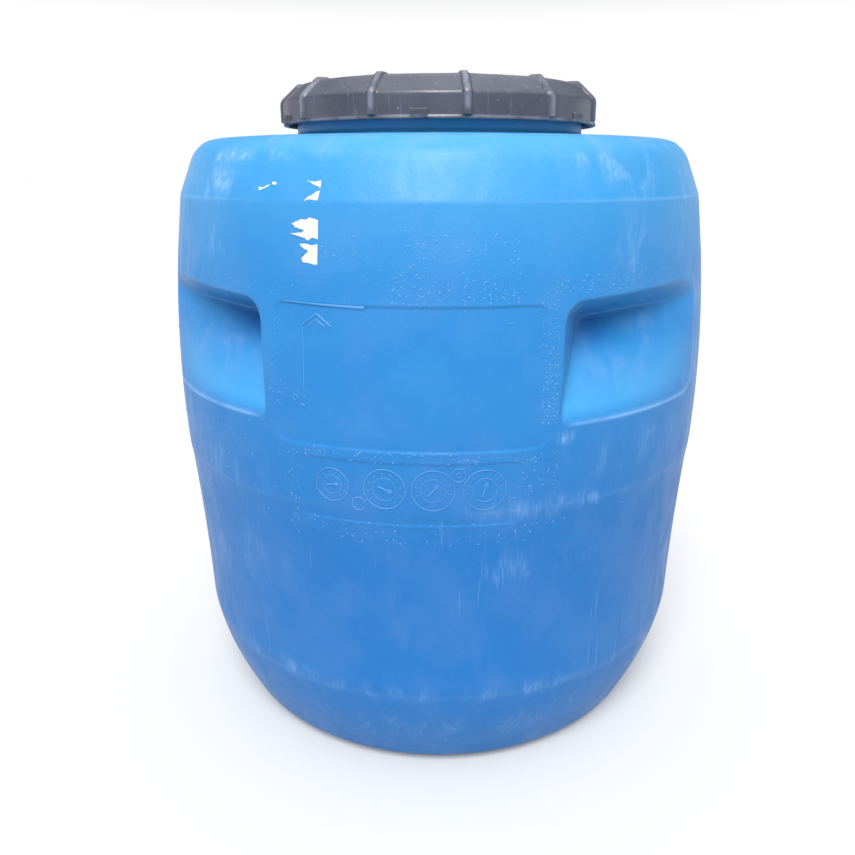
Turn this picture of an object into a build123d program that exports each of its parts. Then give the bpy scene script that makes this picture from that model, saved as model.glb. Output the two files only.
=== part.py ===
"""Wide-mouth blow-moulded drum with hand grips, a ribbed screw lid, a seal ring and an inner lid.

Millimetres. +Z is up and the origin is the centre of the foot ring, on the floor.
Azimuth runs from -Y, where the label panel is, towards +X.
"""

import math
import os

from build123d import *

os.makedirs("parts", exist_ok=True)

# ---- drum: overall ----
belly_radius = 302.7
shoulder_height = 638.0
mouth_radius = 151.0
wall = 3.8

# ---- drum: outline, as insets from the belly and heights above the floor ----
foot_inset = 66.0
foot_width = 15.0
base_recess = 9.0
base_slope_width = 16.0
bowl_foot_inset = 40.2
bowl_foot_height = 26.0
foot_roundness = 0.28
bowl_inset = 11.8
bowl_height = 112.0
bowl_bulge = 3.4
waist_inset = 10.6
waist_height = 122.0
waist_hollow = 1.4

# ---- drum: outline, as insets from the belly and drops from the shoulder top ----
step_inset = 3.1
step_drop = 335.0
step_depth = 1.8
step_run = 14.0
belly_drop = 250.0
rib_line_inset = 9.1
rib_line_drop = 113.0
seam_inset = 17.7
seam_drop = 54.0
cone_inset = 31.7
cone_drop = 20.0
shoulder_inset = 62.7
shoulder_corner_inset = 41.5
shoulder_corner_drop = 7.0
shoulder_rise = 3.0

# ---- neck and thread ----
neck_wall = 6.0
neck_height = 45.5
neck_root_radius = 5.0
thread_pitch = 12.0
thread_turns = 1.0
thread_height = 6.5
neck_thread_root = 7.0
neck_thread_crest = 3.5
lid_thread_root = 5.0
lid_thread_crest = 2.5
neck_thread_top_drop = 11.0
thread_gap = 0.4
thread_root_gap = 3.5
thread_embed = 1.0

# ---- hand grips: one in each quarter ----
grip_inner_azimuth = 26.5
grip_outer_azimuth = 65.6
grip_deep_azimuth = 36.0
grip_depth = 44.0
grip_height = 115.0
grip_top_drop = 130.0
grip_ceiling_drop = 24.0
grip_back_bulge = 2.0
grip_overrun = 1.2
grip_lift_share = 0.6
grip_outer_flare = 1.0
grip_corner_radius = 9.0

# ---- label panel, date panel and their marks ----
panel_azimuth = 23.8
panel_top_drop = 137.0
panel_height = 125.0
panel_depth = 1.2
panel_corner_radius = 12.0
date_panel_azimuth = 20.2
date_panel_top_drop = 273.0
date_panel_height = 60.0
date_panel_depth = 0.8
dial_drop = 298.0
dial_azimuths = [-13.3, -3.9, 4.4, 13.2]
dial_radii = [16.0, 19.0, 19.4, 19.4]
dial_line = 1.6
dial_rise = 0.9
dial_hub_share = 0.6

# ---- screw lid ----
lid_wall = 3.5
lid_skirt_wall = 4.3
lid_rim_margin = 0.7
lid_chamfer_height = 22.0
lid_chamfer_width = 20.5
lid_chamfer_bow = 0.42
lid_crown_width = 13.0
lid_recess = 9.0
lid_recess_slope = 8.0
lid_rib_count = 12
lid_rib_azimuth = 14.0
lid_rib_width = 6.0
lid_rib_rise = 3.2
lid_rib_foot = 2.5
lid_rib_top_rise = 1.6
lid_rib_bow = 0.36
lid_joint_overlap = 1.0
lid_lug_count = 6
lid_lug_azimuth = 29.0
lid_lug_width = 17.0
lid_lug_height = 9.0
lid_lug_rise = 2.2
lug_ridge_count = 6
lug_ridge_width = 1.3
lug_ridge_rise = 0.9
lid_centre_rib_count = 8
lid_centre_rib_rise = 2.5
lid_hub_radius = 34.0
lid_hub_width = 3.0

# ---- seal ring and inner lid ----
gasket_thickness = 3.5
gasket_width = 9.0
gasket_inset = 3.5
gasket_edge_radius = 0.7
seat_gap = 0.2
inner_flange = 2.5
inner_flange_inset = 1.8
inner_wall = 3.0
inner_depth = 26.0
inner_gap = 0.6
inner_draft = 1.5
inner_hold_length = 150.0
inner_hold_height = 15.0
inner_hold_gap = 62.0

# ---- torn paper label: outlines as arc offset along the wall and height, both from the label's corner ----
paper_thickness = 0.25
paper_gap = 0.05
paper_azimuth = -15.0
paper_reach = 60.0
paper_drop = 38.0
paper_outlines = [
    [(0, 0), (-16, 0), (-7, -4), (0, -5)],
    [(0, -6), (-6, -9), (-12, -13), (-1, -13)],
    [(0, -26), (-17, -25), (-25, -31), (-14, -33), (-20, -38), (-7, -39), (0, -40)],
    [(0, -43), (-15, -44), (-10, -49), (-16, -55), (-6, -56), (0, -58)],
]

# ---- places that follow from the sizes above ----
neck_radius = mouth_radius + neck_wall
rim_height = shoulder_height + neck_height
grip_top = shoulder_height - grip_top_drop
grip_bottom = grip_top - grip_height
inner_flange_base = rim_height + seat_gap
gasket_base = inner_flange_base + inner_flange + seat_gap
lid_inside_top = gasket_base + gasket_thickness
lid_top = lid_inside_top + lid_wall
neck_crest_radius = neck_radius + thread_height
lid_crest_radius = neck_radius + thread_root_gap
lid_bore_radius = lid_crest_radius + thread_height
lid_radius = lid_bore_radius + lid_skirt_wall
lid_crown_radius = lid_radius - lid_chamfer_width
neck_thread_start = rim_height - neck_thread_top_drop - thread_pitch * thread_turns
thread_flanks = (neck_thread_root + neck_thread_crest + lid_thread_root + lid_thread_crest) / 4
lid_thread_start = neck_thread_start - thread_flanks - thread_gap
lid_rim = lid_thread_start - lid_thread_root / 2 - lid_rim_margin


def around(radius, azimuth, height=0.0):
    """The point at this radius and azimuth, with azimuth 0 at -Y and 90 at +X."""
    angle = math.radians(azimuth)
    return Vector(radius * math.sin(angle), -radius * math.cos(angle), height)


def facing(radius, azimuth, height):
    """A plane that faces out from the axis, with its own x along the wall and its y up."""
    outward = around(1.0, azimuth)
    return Plane(origin=around(radius, azimuth, height), x_dir=(-outward.Y, outward.X, 0), z_dir=outward)


def upper(inset, drop):
    """A point of the outline, from the belly radius and the shoulder top."""
    return (belly_radius - inset, shoulder_height - drop)


def lower(inset, height):
    """A point of the outline, from the belly radius and the floor."""
    return (belly_radius - inset, height)


def midway(start, end, bulge):
    """The point halfway between two outline points, moved out by the bulge."""
    return ((start[0] + end[0]) / 2 + bulge, (start[1] + end[1]) / 2)


def arc_centre(first, second, third):
    """The centre of the circle through three outline points."""
    (r1, z1), (r2, z2), (r3, z3) = first, second, third
    slope = 2 * ((r2 - r1) * (z3 - z1) - (r3 - r1) * (z2 - z1))
    square2 = r2 * r2 - r1 * r1 + z2 * z2 - z1 * z1
    square3 = r3 * r3 - r1 * r1 + z3 * z3 - z1 * z1
    centre_r = (square2 * (z3 - z1) - square3 * (z2 - z1)) / slope
    centre_z = (square3 * (r2 - r1) - square2 * (r3 - r1)) / slope
    return centre_r, centre_z


# ---- outline of the moulding, without its neck ----

foot_outer = lower(foot_inset, 0)
foot_inner = lower(foot_inset + foot_width, 0)
recess_edge = lower(foot_inset + foot_width + base_slope_width, base_recess)
bowl_foot = lower(bowl_foot_inset, bowl_foot_height)
foot_corner = lower((foot_inset + bowl_foot_inset) / 2, bowl_foot_height * foot_roundness)
bowl_top = lower(bowl_inset, bowl_height)
waist = lower(waist_inset, waist_height)
step_low = upper(step_inset, step_drop)
step_high = upper(step_inset - step_depth, step_drop - step_run)
belly = upper(0, belly_drop)
rib_line = upper(rib_line_inset, rib_line_drop)
seam = upper(seam_inset, seam_drop)
cone_top = upper(cone_inset, cone_drop)
shoulder_corner = upper(shoulder_corner_inset, shoulder_corner_drop)
shoulder = upper(shoulder_inset, 0)
neck_foot = (neck_radius, shoulder_height + shoulder_rise)

# Each stretch is straight between two points, or an arc through three. They run from the base's middle
# out, up and in again to the neck.
outline = [
    [(0, base_recess), recess_edge],
    [recess_edge, foot_inner],
    [foot_inner, foot_outer],
    [foot_outer, foot_corner, bowl_foot],
    [bowl_foot, midway(bowl_foot, bowl_top, bowl_bulge), bowl_top],
    [bowl_top, waist],
    [waist, midway(waist, step_low, -waist_hollow), step_low],
    [step_low, step_high],
    [step_high, belly, rib_line],
    [rib_line, seam],
    [seam, cone_top],
    [cone_top, shoulder_corner, shoulder],
    [shoulder, neck_foot],
]


def wall_radius(height):
    """The drum's outer radius at a height between the step and the seam."""
    if height <= rib_line[1]:
        centre_r, centre_z = arc_centre(step_high, belly, rib_line)
        reach = math.hypot(belly[0] - centre_r, belly[1] - centre_z)
        return centre_r + math.sqrt(reach * reach - (height - centre_z) ** 2)
    share = (height - rib_line[1]) / (seam[1] - rib_line[1])
    return rib_line[0] + (seam[0] - rib_line[0]) * share


def outward(stretch, point):
    """The unit vector that points out of the wall at a point of a stretch."""
    along_r = stretch[-1][0] - stretch[0][0]
    along_z = stretch[-1][1] - stretch[0][1]
    normal = Vector(along_z, -along_r).normalized()
    if len(stretch) == 2:
        return normal
    spoke = (Vector(*point) - Vector(*arc_centre(*stretch))).normalized()
    return spoke if spoke.dot(normal) > 0 else -spoke


def half_outline(shift):
    """The outline's filled half, with every wall moved out by shift."""
    corners = [outline[0][0]] + [stretch[-1] for stretch in outline]
    ends = []
    for corner, before, after in zip(corners, [outline[0]] + outline, outline + [outline[-1]]):
        one = outward(before, corner)
        other = outward(after, corner)
        ends.append(Vector(*corner) + (one + other) * (shift / (1 + one.dot(other))))
    with BuildSketch() as half:
        with BuildLine():
            for stretch, start, end in zip(outline, ends, ends[1:]):
                if len(stretch) == 2:
                    Line(start, end)
                else:
                    middle = Vector(*stretch[1]) + outward(stretch, stretch[1]) * shift
                    ThreePointArc(start, middle, end)
            Polyline(ends[-1], (0, ends[-1].Y), ends[0])
        make_face()
    return half.sketch


def turned(sketch):
    """The solid that a half outline makes when it turns about the axis."""
    with BuildPart() as solid:
        with BuildSketch(Plane.XZ):
            add(sketch)
        revolve(axis=Axis.Z)
    return solid.part


# ---- hand grip: the space that the moulding leaves for a hand ----

grip_ceiling = grip_top - grip_ceiling_drop
grip_corner = around(wall_radius(grip_ceiling) - grip_depth, grip_deep_azimuth)
grip_side = (around(wall_radius(grip_ceiling), grip_inner_azimuth) - grip_corner).normalized()


def grip_side_point(radius):
    """The point of the grip's flat inner side that lies at this radius."""
    along = grip_corner.dot(grip_side)
    reach = math.sqrt(along * along + radius * radius - grip_corner.length**2) - along
    return grip_corner + grip_side * reach


def grip_section(height, corner, middle, grow):
    """One level of the grip's space: its inner side, its back, and its open face outside the wall."""
    out = around(wall_radius(height) + grip_overrun, grip_outer_azimuth)
    clear = wall_radius(height) + grip_depth
    inner_clear = corner + grip_side * (2 * grip_depth)
    middle_clear = around(clear, (grip_inner_azimuth + grip_outer_azimuth) / 2)
    outer_clear = around(clear, grip_outer_azimuth + grip_outer_flare)
    with BuildSketch(Plane.XY.offset(height)) as level:
        with BuildLine():
            Line(inner_clear, corner)
            ThreePointArc(corner, middle, out)
            Polyline(out, outer_clear, middle_clear, inner_clear)
        make_face()
        if grow > 0:
            offset(amount=grow, kind=Kind.INTERSECTION)
    return level.sketch


def grip_flush_section(height, rise, grow):
    """The level where the grip's back comes out to the wall."""
    radius = wall_radius(height) + grip_overrun
    middle = around(radius, (grip_inner_azimuth + grip_outer_azimuth) / 2)
    return grip_section(height + rise, grip_side_point(radius), middle, grow)


def grip_deep_section(rise, grow):
    """The level where the grip is deepest."""
    out = around(wall_radius(grip_ceiling) + grip_overrun, grip_outer_azimuth)
    back = (out - grip_corner).normalized()
    middle = (grip_corner + out) * 0.5 + Vector(back.Y, -back.X) * grip_back_bulge
    return grip_section(grip_ceiling + rise, grip_corner, middle, grow)


def grip_space(grow):
    """The grip's space between the front and +X, made larger all round by grow."""
    rise = grow * grip_lift_share
    with BuildPart() as space:
        add(grip_flush_section(grip_bottom, 0, grow))
        add(grip_deep_section(rise, grow))
        add(grip_flush_section(grip_top, rise, grow))
        loft(ruled=True)
        if grow == 0:
            inside = space.edges().filter_by(lambda edge: edge.center().Z < grip_ceiling)
            upright = inside.filter_by(lambda edge: edge.bounding_box().size.Z > grip_height / 2)
            corner = upright.sort_by(lambda edge: math.hypot(edge.center().X, edge.center().Y))[0]
            fillet(corner, radius=grip_corner_radius)
    return space.part


def four_ways(solid):
    """A solid and its mirror images across both upright planes."""
    with BuildPart() as copies:
        add(solid)
        mirror(about=Plane.YZ)
        mirror(about=Plane.XZ)
    return copies.part


# ---- shallow panels in the wall ----


def panel_space(azimuth, top_drop, height, depth):
    """A recess in the wall, as deep as depth all over, with rounded corners."""
    width = 2 * belly_radius * math.sin(math.radians(azimuth))
    middle = shoulder_height - top_drop - height / 2
    with BuildPart() as space:
        with BuildSketch(facing(belly_radius / 2, 0, middle)):
            RectangleRounded(width, height, panel_corner_radius)
        extrude(amount=belly_radius)
        add(turned(half_outline(-depth)), mode=Mode.SUBTRACT)
    return space.part


# ---- helical ridges of the neck and the lid ----


def helical_ridge(root_radius, crest_radius, root_width, crest_width, start):
    """A ridge with a trapezoid section that winds up to the left from start at +X: a right-hand thread."""
    rise = crest_radius - root_radius
    flank = (root_width - crest_width) / 2 / abs(rise)
    sunk_width = root_width + 2 * flank * thread_embed
    sink = math.copysign(thread_embed, rise)
    with BuildPart() as ridge:
        with BuildLine() as path:
            Helix(thread_pitch, thread_pitch * thread_turns, root_radius, center=(0, 0, start))
        foot = Plane(origin=path.line @ 0, x_dir=(1, 0, 0), z_dir=path.line % 0)
        with BuildSketch(foot):
            with BuildLine():
                Polyline(
                    (-sink, -sunk_width / 2),
                    (rise, -crest_width / 2),
                    (rise, crest_width / 2),
                    (-sink, sunk_width / 2),
                    close=True,
                )
            make_face()
        sweep(path=path.line, is_frenet=True)
    return ridge.part


# ---- drum_body: one hollow moulding ----


def drum_hollow():
    """The space inside the drum: the outline moved in by the wall, less the grips, and the mouth."""
    with BuildPart() as hollow:
        add(turned(half_outline(-wall)))
        add(four_ways(grip_space(wall)), mode=Mode.SUBTRACT)
        with Locations((0, 0, shoulder_height - 2 * wall)):
            Cylinder(mouth_radius, neck_height + 3 * wall, align=(Align.CENTER, Align.CENTER, Align.MIN))
    return hollow.part


def neck_outline():
    """The neck's filled half section, with a round foot and an eased rim."""
    foot_radius = neck_radius + neck_root_radius
    foot_height = neck_foot[1]
    root_height = foot_height + neck_root_radius
    base_height = shoulder_height - wall
    with BuildSketch() as half:
        with BuildLine():
            Polyline((0, base_height), (foot_radius, base_height), (foot_radius, foot_height))
            RadiusArc((foot_radius, foot_height), (neck_radius, root_height), neck_root_radius)
            Polyline((neck_radius, root_height), (neck_radius, rim_height), (0, rim_height), (0, base_height))
        make_face()
    return half.sketch


def dial_mark(azimuth, radius):
    """Two raised rings, one inside the other, on the date panel."""
    height = shoulder_height - dial_drop
    base = wall_radius(height) - date_panel_depth - dial_rise
    with BuildPart() as mark:
        with BuildSketch(facing(base - wall / 2, azimuth, height)):
            Circle(radius)
            Circle(radius - dial_line, mode=Mode.SUBTRACT)
            Circle(radius * dial_hub_share)
            Circle(radius * dial_hub_share - dial_line, mode=Mode.SUBTRACT)
        extrude(amount=wall / 2 + 2 * dial_rise)
    return mark.part


with BuildPart() as drum_body:
    add(turned(half_outline(0)))
    add(turned(neck_outline()))
    add(four_ways(grip_space(0)), mode=Mode.SUBTRACT)
    label_panel = panel_space(panel_azimuth, panel_top_drop, panel_height, panel_depth)
    date_panel = panel_space(date_panel_azimuth, date_panel_top_drop, date_panel_height, date_panel_depth)
    add(label_panel, mode=Mode.SUBTRACT)
    add(label_panel.mirror(Plane.XZ), mode=Mode.SUBTRACT)
    add(date_panel, mode=Mode.SUBTRACT)
    for dial_azimuth, dial_radius in zip(dial_azimuths, dial_radii):
        add(dial_mark(dial_azimuth, dial_radius))
    add(drum_hollow(), mode=Mode.SUBTRACT)
    add(helical_ridge(neck_radius, neck_crest_radius, neck_thread_root, neck_thread_crest, neck_thread_start))
drum_body.part.label = "drum_body"
export_step(drum_body.part, "parts/drum_body.step")


# ---- screw_lid: a cap with upright ribs, lugs at its rim, and a thread inside ----

lid_chamfer_foot = lid_top - lid_chamfer_height
recess_radius = lid_crown_radius - lid_crown_width
lid_floor = lid_top - lid_recess


def lid_outline():
    """The cap's filled half section, without ribs or thread."""
    inner_recess = recess_radius - lid_recess_slope - lid_wall / 2
    with BuildSketch() as half:
        with BuildLine():
            Polyline(
                (0, lid_floor),
                (recess_radius - lid_recess_slope, lid_floor),
                (recess_radius, lid_top),
                (lid_crown_radius, lid_top),
            )
            ThreePointArc(
                (lid_crown_radius, lid_top),
                (lid_radius - lid_chamfer_width * lid_chamfer_bow, lid_top - lid_chamfer_height * lid_chamfer_bow),
                (lid_radius, lid_chamfer_foot),
            )
            Polyline(
                (lid_radius, lid_chamfer_foot),
                (lid_radius, lid_rim),
                (lid_bore_radius, lid_rim),
                (lid_bore_radius, lid_chamfer_foot),
                (lid_crown_radius + lid_wall, lid_inside_top),
                (recess_radius - lid_wall / 2, lid_inside_top),
                (inner_recess, lid_floor - lid_wall),
                (0, lid_floor - lid_wall),
                (0, lid_floor),
            )
        make_face()
    return half.sketch


def lid_rib():
    """One upright rib at +X, from the rim over the chamfer to the crown."""
    inner = lid_radius - lid_joint_overlap
    outer = lid_radius + lid_rib_rise
    top = lid_top + lid_rib_top_rise
    crown_end = lid_crown_radius + lid_joint_overlap
    with BuildPart() as rib:
        with BuildSketch(Plane.XZ):
            with BuildLine():
                Polyline((inner, lid_rim + lid_rib_foot), (outer, lid_rim + lid_rib_foot), (outer, lid_chamfer_foot))
                ThreePointArc(
                    (outer, lid_chamfer_foot),
                    (outer - lid_chamfer_width * lid_rib_bow, top - lid_chamfer_height * lid_chamfer_bow),
                    (crown_end, top),
                )
                Polyline(
                    (crown_end, top),
                    (recess_radius + lid_joint_overlap, lid_top),
                    (lid_crown_radius, lid_top - lid_joint_overlap),
                    (inner, lid_chamfer_foot),
                    (inner, lid_rim + lid_rib_foot),
                )
            make_face()
        extrude(amount=lid_rib_width / 2, both=True)
    return rib.part


def lid_lug():
    """One grip lug at +X on the rim, with fine upright ridges."""
    middle = lid_rim + lid_lug_height / 2
    spacing = (lid_lug_width - lug_ridge_width) / (lug_ridge_count - 1)
    with BuildPart() as lug:
        with Locations((lid_radius, 0, middle)):
            Box(2 * lid_lug_rise, lid_lug_width, lid_lug_height)
        with Locations((lid_radius + lid_lug_rise, 0, middle)):
            with GridLocations(1, spacing, 1, lug_ridge_count):
                Box(2 * lug_ridge_rise, lug_ridge_width, lid_lug_height)
    return lug.part


with BuildPart() as screw_lid:
    add(turned(lid_outline()))
    with PolarLocations(0, lid_rib_count, start_angle=lid_rib_azimuth):
        add(lid_rib())
    with PolarLocations(0, lid_lug_count, start_angle=lid_lug_azimuth):
        add(lid_lug())
    with BuildSketch(Plane.XY.offset(lid_floor - lid_joint_overlap)):
        Circle(lid_hub_radius)
        Circle(lid_hub_radius - lid_hub_width, mode=Mode.SUBTRACT)
        with PolarLocations(0, lid_centre_rib_count):
            with Locations((lid_hub_radius - lid_joint_overlap, 0)):
                spoke_length = recess_radius - lid_recess_slope - lid_hub_radius
                Rectangle(spoke_length, lid_wall, align=(Align.MIN, Align.CENTER))
    extrude(amount=lid_joint_overlap + lid_centre_rib_rise)
    add(
        helical_ridge(
            lid_bore_radius,
            lid_crest_radius,
            lid_thread_root,
            lid_thread_crest,
            lid_thread_start,
        )
    )
screw_lid.part.label = "screw_lid"
export_step(screw_lid.part, "parts/screw_lid.step")


# ---- lid_gasket: a flat seal ring under the crown ----

with BuildPart() as lid_gasket:
    with BuildSketch(Plane.XY.offset(gasket_base)):
        Circle(neck_radius - gasket_inset)
        Circle(neck_radius - gasket_inset - gasket_width, mode=Mode.SUBTRACT)
    extrude(amount=gasket_thickness)
    fillet(lid_gasket.edges(), radius=gasket_edge_radius)
lid_gasket.part.label = "lid_gasket"
export_step(lid_gasket.part, "parts/lid_gasket.step")


# ---- inner_lid: a shallow pan that plugs the mouth, with two finger holds ----


def inner_outline():
    """The pan's filled half section: flange, tapered side with a sealing bead, and floor."""
    top = inner_flange_base + inner_flange
    plug = mouth_radius - inner_gap
    floor = inner_flange_base - inner_depth
    with BuildSketch() as half:
        with BuildLine():
            Polyline(
                (0, floor),
                (plug - inner_draft - inner_wall, floor),
                (plug - inner_draft, floor + inner_wall),
                (plug, inner_flange_base),
                (neck_radius - inner_flange_inset, inner_flange_base),
                (neck_radius - inner_flange_inset, top),
                (plug - inner_wall, top),
                (plug - inner_draft - inner_wall, floor + inner_wall),
                (0, floor + inner_wall),
                (0, floor),
            )
        make_face()
    return half.sketch


with BuildPart() as inner_lid:
    add(turned(inner_outline()))
    hold_base = inner_flange_base - inner_depth + inner_wall / 2
    with BuildSketch(Plane.XY.offset(hold_base)):
        with GridLocations(0, inner_hold_gap, 1, 2):
            SlotOverall(inner_hold_length, inner_wall * 2)
        Rectangle(inner_wall, inner_hold_gap)
    extrude(amount=inner_wall / 2 + inner_hold_height)
inner_lid.part.label = "inner_lid"
export_step(inner_lid.part, "parts/inner_lid.step")


# ---- label_remains: scraps of a torn paper label on the shoulder and the upper wall ----

with BuildPart() as label_remains:
    for paper_outline in paper_outlines:
        with BuildSketch(facing(belly_radius - paper_reach, paper_azimuth, shoulder_height - paper_drop)):
            with BuildLine():
                Polyline(*paper_outline, close=True)
            make_face()
    extrude(amount=2 * paper_reach)
    add(turned(half_outline(paper_gap + paper_thickness)), mode=Mode.INTERSECT)
    add(turned(half_outline(paper_gap)), mode=Mode.SUBTRACT)
label_remains.part.label = "label_remains"
export_step(label_remains.part, "parts/label_remains.step")
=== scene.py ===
"""Looks of a wide-mouth plastic drum with a ribbed screw lid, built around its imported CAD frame.

Metres, +Z up. Azimuth runs from -Y, where the label panel is, towards +X.
"""

import math

import bpy
import numpy as np
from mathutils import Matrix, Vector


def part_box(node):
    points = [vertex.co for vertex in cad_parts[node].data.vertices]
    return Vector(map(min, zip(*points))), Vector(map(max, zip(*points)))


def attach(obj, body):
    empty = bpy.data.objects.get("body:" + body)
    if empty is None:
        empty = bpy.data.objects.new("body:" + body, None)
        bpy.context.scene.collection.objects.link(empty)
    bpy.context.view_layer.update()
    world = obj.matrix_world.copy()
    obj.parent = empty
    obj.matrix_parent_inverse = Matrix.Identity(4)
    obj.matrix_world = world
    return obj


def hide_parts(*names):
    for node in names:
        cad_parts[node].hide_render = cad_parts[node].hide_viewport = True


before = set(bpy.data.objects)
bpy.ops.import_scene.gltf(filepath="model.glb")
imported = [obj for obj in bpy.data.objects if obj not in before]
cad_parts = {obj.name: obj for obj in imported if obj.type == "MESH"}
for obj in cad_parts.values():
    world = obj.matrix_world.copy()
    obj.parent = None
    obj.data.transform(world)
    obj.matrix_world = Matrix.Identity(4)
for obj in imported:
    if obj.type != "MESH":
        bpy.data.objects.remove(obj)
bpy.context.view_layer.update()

MM = 0.001


def colour(*values):
    return (*values, 1.0)


def circle(count):
    """Evenly spaced azimuths round the axis."""
    return np.arange(count) * 360 / count


def away_from(azimuth, middle):
    """How far an azimuth lies from another, from -180 to 180."""
    return np.remainder(azimuth - middle + 180, 360) - 180


def bell(value, middle, width):
    return np.exp(-(((value - middle) / width) ** 2))


def eased(share):
    """A share from 0 to 1 with a soft start and end."""
    return share * share * (3 - 2 * share)


def lengths_along(line):
    return np.concatenate([[0], np.cumsum(np.linalg.norm(np.diff(line, axis=0), axis=1))])


def sampled(line, along, places):
    """The points of a line at these lengths along it."""
    return np.stack([np.interp(places, along, line[:, i]) for i in range(2)], 1)


def outward_normals(line):
    step = np.gradient(line, axis=0)
    step /= np.linalg.norm(step, axis=1)[:, None]
    return np.stack([step[:, 1], -step[:, 0]], 1)


drum_low, drum_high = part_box("drum_body")
lid_low, lid_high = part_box("screw_lid")

# ---- drum: sizes taken from the frame ----
BELLY = (drum_high.x - drum_low.x) / 2
RIM = drum_high.z
NECK_HEIGHT = 45.5 * MM
SHOULDER = RIM - NECK_HEIGHT

# ---- drum: its outline, as in the CAD ----
WALL = 3.8 * MM
NECK = 157.0 * MM
MOUTH = 151.0 * MM
NECK_ROOT = 5.0 * MM
THREAD_PITCH = 12.0 * MM
THREAD_TURNS = 1.0
THREAD_RISE = 6.5 * MM
THREAD_END = 0.03
NECK_THREAD_WIDTHS = (7.0 * MM, 3.5 * MM)
LID_THREAD_WIDTHS = (5.0 * MM, 2.5 * MM)
NECK_THREAD_START = RIM - 23.0 * MM
LID_THREAD_START = NECK_THREAD_START - 4.9 * MM
GRIP_INNER = 26.5
GRIP_OUTER = 65.6
GRIP_DEEP = 36.0
GRIP_DEPTH = 44.0 * MM
GRIP_TOP = SHOULDER - 130.0 * MM
GRIP_BOTTOM = GRIP_TOP - 115.0 * MM
GRIP_CEILING = 24.0 * MM
GRIP_OVERRUN = 1.2 * MM
GRIP_BULGE = 2.0 * MM


def upper(inset, drop):
    """An outline point from millimetres in from the belly and down from the shoulder top."""
    return (BELLY - inset * MM, SHOULDER - drop * MM)


def lower(inset, height):
    """An outline point from millimetres in from the belly and up from the floor."""
    return (BELLY - inset * MM, height * MM)


def midway(start, end, bulge):
    """The point halfway between two outline points, moved out by some millimetres."""
    return ((start[0] + end[0]) / 2 + bulge * MM, (start[1] + end[1]) / 2)


FOOT_INNER = lower(81.0, 0)
FOOT_OUTER = lower(66.0, 0)
RECESS_EDGE = lower(97.0, 9.0)
BOWL_FOOT = lower(40.2, 26.0)
FOOT_CORNER = lower(53.1, 7.28)
BOWL_TOP = lower(11.8, 112.0)
WAIST = lower(10.6, 122.0)
STEP_LOW = upper(3.1, 335.0)
STEP_HIGH = upper(1.3, 321.0)
BELLY_POINT = upper(0, 250.0)
RIB_LINE = upper(9.1, 113.0)
SEAM = upper(17.7, 54.0)
CONE_TOP = upper(31.7, 20.0)
SHOULDER_CORNER = upper(41.5, 7.0)
SHOULDER_EDGE = upper(62.7, 0)
NECK_FOOT = (NECK + NECK_ROOT, SHOULDER + 2.8 * MM)

STRETCHES = [
    [(0, RECESS_EDGE[1]), RECESS_EDGE],
    [RECESS_EDGE, FOOT_INNER],
    [FOOT_INNER, FOOT_OUTER],
    [FOOT_OUTER, FOOT_CORNER, BOWL_FOOT],
    [BOWL_FOOT, midway(BOWL_FOOT, BOWL_TOP, 3.4), BOWL_TOP],
    [BOWL_TOP, WAIST],
    [WAIST, midway(WAIST, STEP_LOW, -1.4), STEP_LOW],
    [STEP_LOW, STEP_HIGH],
    [STEP_HIGH, BELLY_POINT, RIB_LINE],
    [RIB_LINE, SEAM],
    [SEAM, CONE_TOP],
    [CONE_TOP, SHOULDER_CORNER, SHOULDER_EDGE],
    [SHOULDER_EDGE, NECK_FOOT],
]


def arc_points(first, second, third, count):
    """Points along the circle through three points."""
    a, b, c = (np.array(p) for p in (first, second, third))
    matrix = 2 * np.array([b - a, c - a])
    centre = np.linalg.solve(matrix, np.array([b @ b - a @ a, c @ c - a @ a]))
    angles = [math.atan2(*(p - centre)[::-1]) for p in (a, b, c)]
    sweep = sum(math.remainder(end - start, math.tau) for start, end in zip(angles, angles[1:]))
    turn = angles[0] + sweep * np.linspace(0, 1, count)
    return centre + np.linalg.norm(a - centre) * np.stack([np.cos(turn), np.sin(turn)], 1)


def smooth_rows(values, sigma):
    """A Gaussian blur along the first axis, with the ends held."""
    reach = int(3 * sigma) + 1
    kernel = np.exp(-0.5 * (np.arange(-reach, reach + 1) / sigma) ** 2)
    kernel /= kernel.sum()
    first, last = np.repeat(values[:1], reach, 0), np.repeat(values[-1:], reach, 0)
    padded = np.concatenate([first, values, last])
    flat = padded.reshape(len(padded), -1)
    out = np.stack([np.convolve(column, kernel, "valid") for column in flat.T], 1)
    return out.reshape(values.shape)


OUTLINE_STEP = 0.5 * MM
CREASE_EASE = 1.3 * MM


def outline_points():
    """The outline at even steps, with its creases eased."""
    pieces = []
    for stretch in STRETCHES:
        if len(stretch) == 2:
            share = np.linspace(0, 1, 40)[:, None]
            pieces.append(np.array(stretch[0]) * (1 - share) + np.array(stretch[1]) * share)
        else:
            pieces.append(arc_points(*stretch, 120))
    line = np.concatenate(pieces)
    steps = np.linalg.norm(np.diff(line, axis=0), axis=1)
    line = line[np.concatenate([[True], steps > 1e-9])]
    along = lengths_along(line)
    line = sampled(line, along, np.arange(0, along[-1], OUTLINE_STEP))
    return smooth_rows(line, CREASE_EASE / OUTLINE_STEP)


OUTLINE = outline_points()
WALL_SPAN = OUTLINE[(OUTLINE[:, 1] > 8 * MM) & (OUTLINE[:, 0] > BELLY - 55 * MM)]
WALL_SPAN = WALL_SPAN[: np.argmax(WALL_SPAN[:, 1] > SHOULDER - 1.5 * MM)]


def wall_radius(height):
    """The outer radius at a height, between the foot and the shoulder top."""
    return np.interp(height, WALL_SPAN[:, 1], WALL_SPAN[:, 0])


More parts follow.
